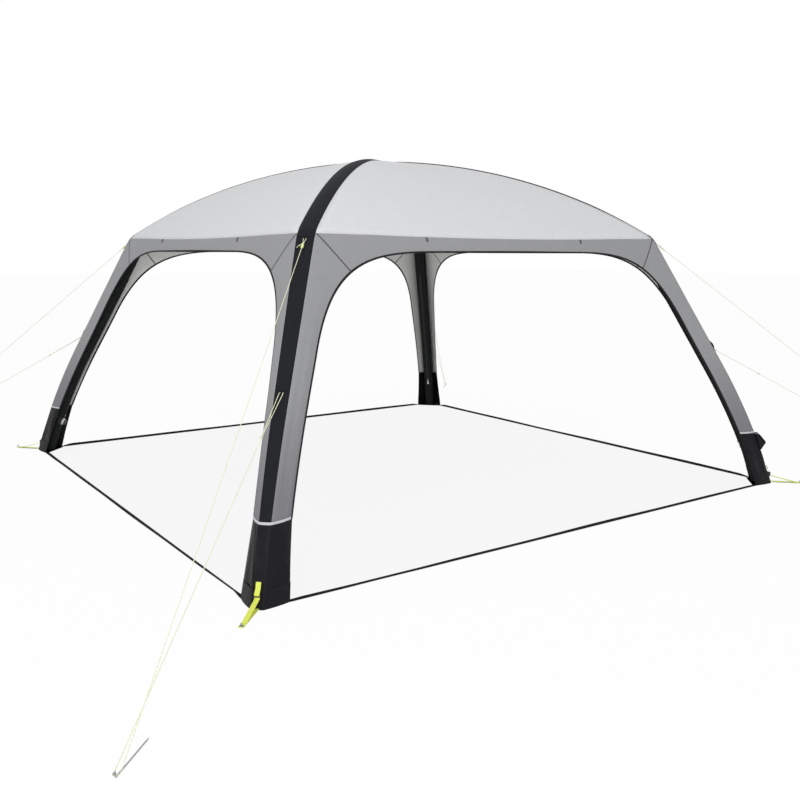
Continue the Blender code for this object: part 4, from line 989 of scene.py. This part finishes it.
# %% [markdown]
# ## Reflective piping
#
# A pale tape full of tiny glass beads covers the seam at the top of each boot, so that nobody trips over
# a leg at night. It is one ribbon that follows the V of the boot, corner included.

# %% Piping
PIPING_HEIGHT = 0.012
PIPING_WALL = 0.0016


def piping_place(u, v):
    z = BOOT_HEIGHT + PIPING_HEIGHT * v
    q = (2 * u - 1) * (HALF_CORNER + wing_reach(z) + 0.001)
    return boot_face(q, z, 0.0012 + corner_crown(q, z)), (q, z)


piping_mesh = cloth_sheet("piping", 60, 2, piping_place)
around(LEGS, "piping_{}", piping_mesh, reflective_piping, slot="boot_pvc", wall=PIPING_WALL)
print("piping:", len(piping_mesh.polygons), "faces")

# %% [markdown]
# ## Straps on the ground
#
# Four webbing straps join the boots and keep the legs from spreading. Webbing lies flat but never quite,
# so each ribbon leans a little one way or the other, the far two more, with its lower edge always on the
# ground. Some twist on the way, so a lean and a twist in radians describe each.

# %% Perimeter straps
WEBBING_WIDTH = 0.025
WEBBING_WALL = 0.0018
STRAP_HALF = out_at_height(0) - WING_FOOT
STRAP_FADE = 0.04
STRAP_LEAN = {"front": (0.13, 0.08), "right": (-0.46, 0.0), "rear": (-0.58, 0.0), "left": (-0.16, -0.24)}


def strap_place(lean, twist):
    def place(u, v):
        x = (2 * u - 1) * STRAP_HALF
        fade = min((1 - abs(2 * u - 1)) / STRAP_FADE, 1)
        tilt = fade * (lean + twist * (2 * u - 1) + 0.08 * math.sin(2.3 * x + 0.8) + 0.05 * math.sin(5.9 * x))
        across = (v - 0.5) * WEBBING_WIDTH
        rise = across * math.sin(tilt) + abs(math.sin(tilt)) * WEBBING_WIDTH / 2
        return Vector((x, -SIDE / 2 + across * math.cos(tilt), GAP + WEBBING_WALL + rise)), (x, across)
    return place


for side, lean_and_twist in STRAP_LEAN.items():
    strap_mesh = cloth_sheet("perimeter_webbing", 160, 4, strap_place(*lean_and_twist))
    around({side: SIDES[side]}, "perimeter_webbing_{}", strap_mesh, black_webbing, slot="strap_webbing",
           replaces=["perimeter_strap_{}"], wall=WEBBING_WALL)
print("strap length:", round(2 * STRAP_HALF, 2), "m")

# %% [markdown]
# ## Peg straps
#
# A yellow strap leaves the foot of each boot along the ground, folds back over the peg, and rises to a
# ladder lock on the boot. Its end is threaded there and lies up the boot. In the plane of the leg that is
# one line of points. A ribbon follows the line, its ribs follow the ribbon, and where the peg goes
# through, the faces are taken out, the edge is drawn round, and a steel eyelet finishes it.

# %% Peg straps
PEG_RIDGE = FOOT_RIDGE + 0.200
TONGUE_TIP = 0.013
TONGUE_LENGTH = 0.032
EYELET_RADIUS = 0.0065
STRAP_LEVEL = 2 * PEG_WIRE + GAP + 0.001
BUCKLE_HEIGHT = 0.060
BUCKLE_FACE = leg_ridge(0.046) + HEM_PROUD + GAP + 0.0085
STRAP_STEP = 0.0017
# Section of the eyelet, as distance from its middle and height
EYELET_SECTION = [(0.0064, 0.0065), (0.0060, 0.0100), (0.0068, 0.0112), (0.0086, 0.0114), (0.0106, 0.0108),
                  (0.0108, 0.0102), (0.0070, 0.0102), (0.0069, 0.0065)]


def peg_strap_line():
    """Middle of the strap in the plane of a leg, as distance and height."""
    before, behind, z = BUCKLE_FACE + 0.0018, BUCKLE_FACE - 0.0053, BUCKLE_HEIGHT
    tip = PEG_RIDGE + TONGUE_TIP
    fold = [(tip - 0.001 + 0.001 * math.sin(a), STRAP_LEVEL + 0.001 - 0.001 * math.cos(a))
            for a in (math.pi * k / 4 for k in range(5))]
    tongue = (PEG_RIDGE - TONGUE_LENGTH, STRAP_LEVEL + 0.002)
    threaded = [(before, z - 0.011), (before, z - 0.0093), (behind, z - 0.0017), (behind, z + 0.0017),
                (before, z + 0.0093), (before, z + 0.0127)]
    loose = [(leg_ridge(up) + HEM_PROUD + 0.007, up) for up in (0.094, 0.108, 0.122)]
    return [(FOOT_RIDGE + HEM_PROUD + GAP, STRAP_LEVEL)] + fold + [tongue] + threaded + loose


def along_line(points, width):
    """Place function of a ribbon whose middle follows points in the plane of a leg, and its length."""
    line = np.array([tuple(p) for p in points])
    travel = travel_along(line)

    def place(u, v):
        s, across = u * travel[-1], (v - 0.5) * width
        return Vector((np.interp(s, travel, line[:, 0]), across, np.interp(s, travel, line[:, 1]))), (s, across)
    return place, float(travel[-1])


def peg_strap_mesh():
    place, long = along_line(peg_strap_line(), WEBBING_WIDTH)
    bm = bmesh.new()
    bm.from_mesh(cloth_sheet("peg_strap", round(long / STRAP_STEP), 16, place))
    hole = Vector((PEG_RIDGE, 0))
    cut = [face for face in bm.faces if (face.calc_center_median().xy - hole).length < EYELET_RADIUS]
    bmesh.ops.delete(bm, geom=cut, context="FACES")
    for vert in bm.verts:
        out = vert.co.xy - hole
        if vert.is_boundary and out.length < EYELET_RADIUS + 0.003:
            vert.co.xy = hole + out.normalized() * EYELET_RADIUS
    return close_mesh("peg_strap", bm, 60)


def spun(section, steps):
    """Bmesh of a closed section, as distance and height, spun about the vertical."""
    bm = bmesh.new()
    ring = [bm.verts.new((r, 0, z)) for r, z in section]
    edges = [bm.edges.new((a, b)) for a, b in zip(ring, ring[1:] + ring[:1])]
    bmesh.ops.spin(bm, geom=ring + edges, cent=(0, 0, 0), axis=(0, 0, 1), angle=math.tau, steps=steps,
                   use_merge=True)
    return bm


def eyelet_mesh():
    bm = spun(EYELET_SECTION, 32)
    bmesh.ops.translate(bm, verts=bm.verts, vec=(PEG_RIDGE, 0, 0))
    return close_mesh("eyelet", bm)


yellow_mesh = peg_strap_mesh()
around(LEGS, "peg_webbing_{}", yellow_mesh, yellow_webbing, slot="peg_strap_webbing", replaces=["peg_strap_{}"],
       wall=WEBBING_WALL, both_ways=True)
around(LEGS, "eyelet_{}", eyelet_mesh(), plated_steel, slot="peg_steel")
print("peg strap:", len(yellow_mesh.polygons), "faces")

# %% [markdown]
# ## Pegs
#
# Each peg is one length of steel wire with a bent hook and a ground point. A curve with a round section
# is the natural tool for bent wire, and its points may be thinner, which makes the point.

# %% Pegs
PEG_BEND = 0.005
HOOK_HEIGHT = 0.023
HOOK_REACH = 0.014
PEGS = (("foot_peg", PEG_RIDGE, 0.185), ("guy_peg", GUY_PEG_RIDGE, 0.230))


def wire(name, points, radius, angle, thin=()):
    """Curve with a round section along points in a leg's frame, turned to its leg."""
    data = bpy.data.curves.new(name, "CURVE")
    data.dimensions = "3D"
    data.bevel_depth = radius
    data.bevel_resolution = 3
    data.use_fill_caps = True
    spline = data.splines.new("POLY")
    spline.points.add(len(points) - 1)
    for i, point in enumerate(points):
        spline.points[i].co = (*(turning(angle) @ point), 1)
        spline.points[i].radius = thin[i] if i < len(thin) else 1.0
    return data


def peg_points(base, length):
    """Middle of the wire: the shaft on the ground, the bend up and the hook."""
    shaft = [(x, PEG_WIRE) for x in (-length, 0.006 - length, 0.020 - length, -PEG_BEND)]
    quarter = [math.pi / 12 * k for k in range(7)]
    bend = [(PEG_BEND * (math.sin(a) - 1), PEG_WIRE + PEG_BEND * (1 - math.cos(a))) for a in quarter[1:]]
    hook = [(PEG_BEND * (1 - math.cos(a)), HOOK_HEIGHT - PEG_BEND * (1 - math.sin(a))) for a in quarter]
    return [Vector((base + x, 0, z)) for x, z in shaft + bend + hook + [(HOOK_REACH, HOOK_HEIGHT)]]


for leg, angle in LEGS.items():
    for kind, base, length in PEGS:
        node = f"{kind}_{leg}"
        peg = wire(f"wire_{node}", peg_points(base, length), PEG_WIRE, angle, thin=(0.15, 0.7))
        show(f"wire_{node}", peg, plated_steel, body=node, slot="peg_steel", replaces=[node])
print("pegs:", len(peg_points(0, 0.2)), "points each")

# %% [markdown]
# ## Guy cords, their loops and patches
#
# The cord is a curve too. It pulls on a folded loop of webbing, sewn under a small patch of oxford that
# spreads the load over the band.

# %% Guy cords
LOOP_WIDTH = 0.020
LOOP_WALL = 0.0012
PATCH_LENGTH = 0.068
COVER_WALL = 0.0014
GUY_PARTS = (("cord", GUY_ROUTE, "object"), ("upper_end", UPPER_END, "bare"), ("lower_end", LOWER_END, "object"))

for leg, angle in LEGS.items():
    for part, route, far_end in GUY_PARTS:
        name, main = f"guy_{part}_{leg}", part == "cord"
        cord = show(name, wire(name, route, CORD_RADIUS, angle), guy_braid, slot="guy_cord",
                    replaces=[f"guy_line_{leg}"] if main else ())
        length_of(route)


def loop_mesh(z):
    """Webbing folded into a loop round the cord, in the plane of a leg."""
    root, pull = tab_direction(z)
    off = Vector((-pull.y, pull.x))
    tip = root + pull * (TAB_LENGTH + GAP)
    round_cord = [tip + (off * math.cos(a) + pull * math.sin(a)) * 0.0028
                  for a in (math.pi * k / 10 for k in range(11))]
    ends = [root + off * side - pull * 0.004 for side in (0.0011, -0.0011)]
    return cloth_sheet("guy_loop", 32, 6, along_line([ends[0], *round_cord, ends[1]], LOOP_WIDTH)[0])


def patch_place(z, puff):
    """Patch of oxford on the band, from the loop up, standing off by a puff in its middle."""
    def place(u, v):
        run = run_at_height(z) + 0.006 - PATCH_LENGTH * u
        across = (v - 0.5) * (band_width(ridge(run).y) - 0.004)
        height = (BAND_CROWN + puff * math.sin(math.pi * u)) * (1 - (2 * v - 1) ** 2) + 0.0018
        return on_leg(ridge(run) + outward(run) * height, across), (run, across)
    return place


for z, puff, level in ((EAVE_TAB_HEIGHT, 0.003, "eave"), (LEG_TAB_HEIGHT, 0.009, "middle")):
    around(LEGS, f"guy_loop_{level}_{{}}", loop_mesh(z), black_webbing, slot="strap_webbing", wall=LOOP_WALL,
           both_ways=True)
    around(LEGS, f"guy_patch_{level}_{{}}", cloth_sheet("guy_patch", 24, 10, patch_place(z, puff)), band_cloth,
           slot="band_oxford", wall=COVER_WALL)
print("guy cord:", round(length_of(GUY_ROUTE), 2), "m")

# %% [markdown]
# ## Small fittings
#
# The ladder locks, the runners and the valve are right as they come from the model, so they only get
# their materials. Round the valve a moulded ring is welded to the sleeve: a small circle spun about the
# valve's axis, whose points are then laid on the round of the sleeve.

# %% Fittings
FITTINGS = {"valve_body": pale_nylon, "valve_plunger": grey_nylon, "valve_cap": black_acetal}
for leg in LEGS:
    FITTINGS |= {f"strap_buckle_{leg}": black_acetal, f"guy_runner_{leg}": yellow_nylon}
for name, finish in FITTINGS.items():
    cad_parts[name].material_slots[0].material = finish
VALVE_RUN = run_at_height(0.285)
VALVE_RING = 0.034
RING_WALL = 0.0035
RING_ANGLES = [math.tau * k / 12 for k in range(12)]


def valve_ring_mesh():
    """Moulded ring round the valve, laid on the sleeve."""
    seat, inward = ridge(VALVE_RUN) - outward(VALVE_RUN) * BEAM_DEPTH, -outward(VALVE_RUN)
    down = Vector((inward.y, -inward.x))
    bm = spun([(VALVE_RING + RING_WALL * math.cos(a), RING_WALL * math.sin(a)) for a in RING_ANGLES], 48)
    for vert in bm.verts:
        x, y, z = vert.co
        lean = min(abs(y) / (SLEEVE_OVAL * BEAM_RADIUS), 1)
        vert.co = on_leg(seat + inward * (BEAM_RADIUS * math.sqrt(1 - lean * lean) + z) + down * x, y)
    # The turn onto the leg leaves the old normals, and the recalculation starts from them
    bm.normal_update()
    return close_mesh("valve_ring", bm, 60)


around({"rear_left": LEGS["rear_left"]}, "valve_ring", valve_ring_mesh(), black_acetal, slot="valve_nylon")
print("fittings:", len(FITTINGS), "and a ring", 2 * VALVE_RING, "m across")

# %% [markdown]
# ## Zips and their pulls
#
# A sleeve opens with a zip along its inner line, so that the beam can be taken out. It is a dark tape with
# a narrow coil on it, two ribbons of one path, and a slider with a pale moulded pull at its lower end. On
# the leg with the valve the pull is left off, because it would lie on the valve.

# %% Zips
ZIP_TOP, ZIP_FOOT = run_at_height(1.45), run_at_height(0.335)
PULL_LENGTH = 0.050


def inner_line(run, lift):
    """Point of the sleeve's inner line, lifted off it."""
    return ridge(run) - outward(run) * (BEAM_DEPTH + BEAM_RADIUS + lift)


def zip_mesh(name, width, lift):
    """Ribbon along the whole zip."""
    def place(u, v):
        run, across = ZIP_TOP + (ZIP_FOOT - ZIP_TOP) * u, (v - 0.5) * width
        return on_leg(inner_line(run, lift), across), (run, across)
    return cloth_sheet(name, 90, 2, place)


def pull_place(u, v):
    """Pull, wider and closer to the sleeve towards its foot."""
    run, across = ZIP_FOOT + 0.002 + PULL_LENGTH * u, (v - 0.5) * (0.005 + 0.016 * u)
    return on_leg(inner_line(run, 0.0062 - 0.003 * u), across), (run, across)


def slider_mesh():
    """Slider: a small block, narrower towards its foot, with every edge rounded."""
    bm = bmesh.new()
    bmesh.ops.create_cube(bm, size=1)
    bmesh.ops.scale(bm, verts=bm.verts, vec=(0.005, 0.011, 0.016))
    bmesh.ops.scale(bm, verts=[vert for vert in bm.verts if vert.co.z < 0], vec=(1, 0.6, 1))
    bmesh.ops.bevel(bm, geom=bm.edges, offset=0.0014, affect="EDGES", segments=3, profile=0.5, material=-1)
    out = outward(ZIP_FOOT)
    bmesh.ops.rotate(bm, verts=bm.verts, matrix=Matrix.Rotation(-math.atan2(out.y, out.x), 3, "Y"))
    bmesh.ops.translate(bm, verts=bm.verts, vec=on_leg(inner_line(ZIP_FOOT, 0.003), 0))
    return close_mesh("zip_slider", bm, 60)


around(LEGS, "zip_tape_{}", zip_mesh("zip_tape", 0.024, 0.0004), binding_tape, slot="sleeve_polyester",
       wall=0.0012, both_ways=True)
around(LEGS, "zip_coil_{}", zip_mesh("zip_coil", 0.005, 0.0016), zip_nylon, slot="sleeve_polyester",
       wall=0.0014, both_ways=True)
around(LEGS, "zip_slider_{}", slider_mesh(), plated_steel, slot="peg_steel")
PULL_LEGS = {leg: angle for leg, angle in LEGS.items() if leg != "rear_left"}
around(PULL_LEGS, "zip_pull_{}", cloth_sheet("zip_pull", 12, 4, pull_place), pale_nylon, slot="valve_nylon",
       wall=0.0018, both_ways=True)
print("zip length:", round(ZIP_FOOT - ZIP_TOP, 2), "m")

# %% [markdown]
# ## Loops on the eave
#
# Two short loops of grey webbing hang just below each eave, for a side wall's hooks. Each is a ribbon that
# rises off the cloth between its two sewn ends.

# %% Eave loops
EAVE_LOOP_PLACE = 0.62
EAVE_LOOP_LENGTH = 0.032
EAVE_LOOP_WIDTH = 0.012


def eave_loop_place(x):
    def place(u, v):
        run, across = EAVE_RUN + 0.002 + EAVE_LOOP_LENGTH * u, (v - 0.5) * EAVE_LOOP_WIDTH
        return cloth_point(x + across, run, 0.0, 0.0008 + 0.003 * math.sin(math.pi * u)), (run, across)
    return place


for end, x in (("left", -EAVE_LOOP_PLACE), ("right", EAVE_LOOP_PLACE)):
    around(SIDES, "eave_loop_{}_" + end, cloth_sheet("eave_loop", 12, 3, eave_loop_place(x)), seam_thread,
           slot="strap_webbing", wall=LOOP_WALL, both_ways=True)
print("eave loops at:", EAVE_LOOP_PLACE, "m from the middle")

# %% [markdown]
# ## Boot flap
#
# One boot has a flap over the opening that its beam is filled and emptied through. It is a soft little
# box of cloth, open towards the boot: a strip over the top and down the front, and a gusset on each side.

# %% Boot flap
FLAP_WIDTH = 0.080
FLAP_TOP = Vector((leg_ridge(0.352) + 0.0015 + GAP, 0.352))
FLAP_FOOT = Vector((leg_ridge(0.242) + 0.0018 + GAP, 0.242))


def rounded(points, rounds):
    """Line with its corners cut again and again, which rounds them a little."""
    for _ in range(rounds):
        cut = [p for a, b in zip(points, points[1:]) for p in (a.lerp(b, 0.09), a.lerp(b, 0.91))]
        points = [points[0]] + cut + [points[-1]]
    return points


FLAP_LINE = rounded([FLAP_TOP, FLAP_TOP + Vector((0.030, 0)), FLAP_TOP + Vector((0.077, -0.055)), FLAP_FOOT], 2)


def gusset_place(mirror):
    strip, long = along_line(FLAP_LINE, 0)

    def place(u, v):
        spot = on_leg(FLAP_TOP.lerp(FLAP_FOOT, u), 0).lerp(strip(u, 0.5)[0], v)
        spot.y = mirror * (FLAP_WIDTH / 2 - 0.006 * math.sin(math.pi * v) * math.sin(math.pi * u))
        return spot, (long * u, spot.y)
    return place


def flap_mesh():
    """Strip and gussets, merged along their seams."""
    bm = bmesh.new()
    bm.from_mesh(cloth_sheet("flap_strip", 30, 8, along_line(FLAP_LINE, FLAP_WIDTH)[0]))
    for mirror in (1, -1):
        bm.from_mesh(cloth_sheet("flap_gusset", 30, 6, gusset_place(mirror)))
    bmesh.ops.remove_doubles(bm, verts=bm.verts, dist=1e-4)
    return close_mesh("flap", bm, 50)


flap = show("flap_cloth", turned_mesh(flap_mesh(), LEGS["front_right"], "flap_cloth"), boot_cloth, body="boot_flap",
            slot="flap_oxford", replaces=["boot_flap"])
thicken(flap, COVER_WALL, both_ways=True)
print("flap:", len(flap.data.polygons), "faces")

# %% [markdown]
# ## Studio
#
# The floor and the backdrop are plain white, with a painted shadow that makes the floor a shade greyer
# inside the square of straps. The lamps stay at the level at which a colour looks as it is written, so the
# white that the camera sees comes from the floor's and the world's own colour, while the floor keeps a
# little of the tent's soft shadow.

# %% Floor, world and lamps
GLOW_SHARE = 0.94
WORLD_LEVEL = 0.69


def floor_material():
    """White floor that mostly glows for the camera, so that a little of the real shadow is left, and a painted shadow
    greys it inside the square of straps.
    """
    made, tree, shader = new_material("white_floor", 0.95, colour="#f4f4f4")
    place = add_node(tree, "TexCoord").outputs["Object"]
    split = add_node(tree, "SeparateXYZ", links={"Vector": place})
    sides = [add_node(tree, "Math", links={0: split.outputs[axis]}, operation="ABSOLUTE") for axis in "XY"]
    far = add_node(tree, "Math", links={0: sides[0].outputs[0], 1: sides[1].outputs[0]}, operation="MAXIMUM")
    outside = add_node(tree, "Math", {1: SIDE / 2}, {0: far.outputs[0]}, operation="GREATER_THAN")
    # Painted shadow: light grey inside the square of straps, white outside it
    white = add_node(tree, "Mix", {6: linear("#f8f8f8"), 7: linear("#ffffff")},
                     {"Factor": outside.outputs[0]}, data_type="RGBA")
    glow = add_node(tree, "Emission", {"Strength": 1.0}, {"Color": white.outputs[2]})
    rays = add_node(tree, "LightPath").outputs
    seen = add_node(tree, "Math", {1: GLOW_SHARE}, {0: rays["Is Camera Ray"]}, operation="MULTIPLY")
    mixed = add_node(tree, "MixShader", links={0: seen.outputs[0], 1: shader.outputs[0], 2: glow.outputs[0]})
    tree.links.new(mixed.outputs[0], tree.nodes["Material Output"].inputs["Surface"])
    return made


def studio_floor():
    bm = bmesh.new()
    bmesh.ops.create_grid(bm, x_segments=2, y_segments=2, size=60)
    bmesh.ops.translate(bm, verts=bm.verts, vec=(0, 0, -0.001))
    mesh = bpy.data.meshes.new("studio_floor")
    bm.to_mesh(mesh)
    bm.free()
    mesh.materials.append(floor_material())
    floor = bpy.data.objects.new("studio_floor", mesh)
    bpy.context.scene.collection.objects.link(floor)


def studio_world(level):
    """White for the camera, for glossy and for see-through rays, and a plain level for the rest."""
    world = bpy.data.worlds.new("studio")
    bpy.context.scene.world = world
    world.use_nodes = True
    tree = world.node_tree
    rays = add_node(tree, "LightPath").outputs
    white = rays["Is Camera Ray"]
    for kind in ("Is Glossy Ray", "Is Transmission Ray"):
        white = add_node(tree, "Math", links={0: white, 1: rays[kind]}, operation="MAXIMUM").outputs[0]
    strength = add_node(tree, "MapRange", {"To Min": level, "To Max": 1.0}, {"Value": white})
    tree.links.new(strength.outputs[0], tree.nodes["Background"].inputs["Strength"])
    tree.nodes["Background"].inputs["Color"].default_value = (1, 1, 1, 1)


def studio_lamp(name, place, aim, size, power):
    data = bpy.data.lights.new(name, "AREA")
    data.shape = "DISK"
    data.size = size
    data.energy = power
    lamp = bpy.data.objects.new(name, data)
    bpy.context.scene.collection.objects.link(lamp)
    look = (Vector(aim) - Vector(place)).to_track_quat("-Z", "Y").to_matrix().to_4x4()
    lamp.matrix_world = Matrix.Translation(place) @ look


studio_floor()
studio_world(WORLD_LEVEL)
studio_lamp("key", (-5.5, -5.5, 7.0), (0, 0, 1.2), 5.0, 232)
studio_lamp("fill", (-8.0, -13.0, 2.2), (0, 0, 1.0), 6.0, 330)
bpy.context.scene.view_settings.view_transform = "Standard"
print("lamps:", len(bpy.data.lights))
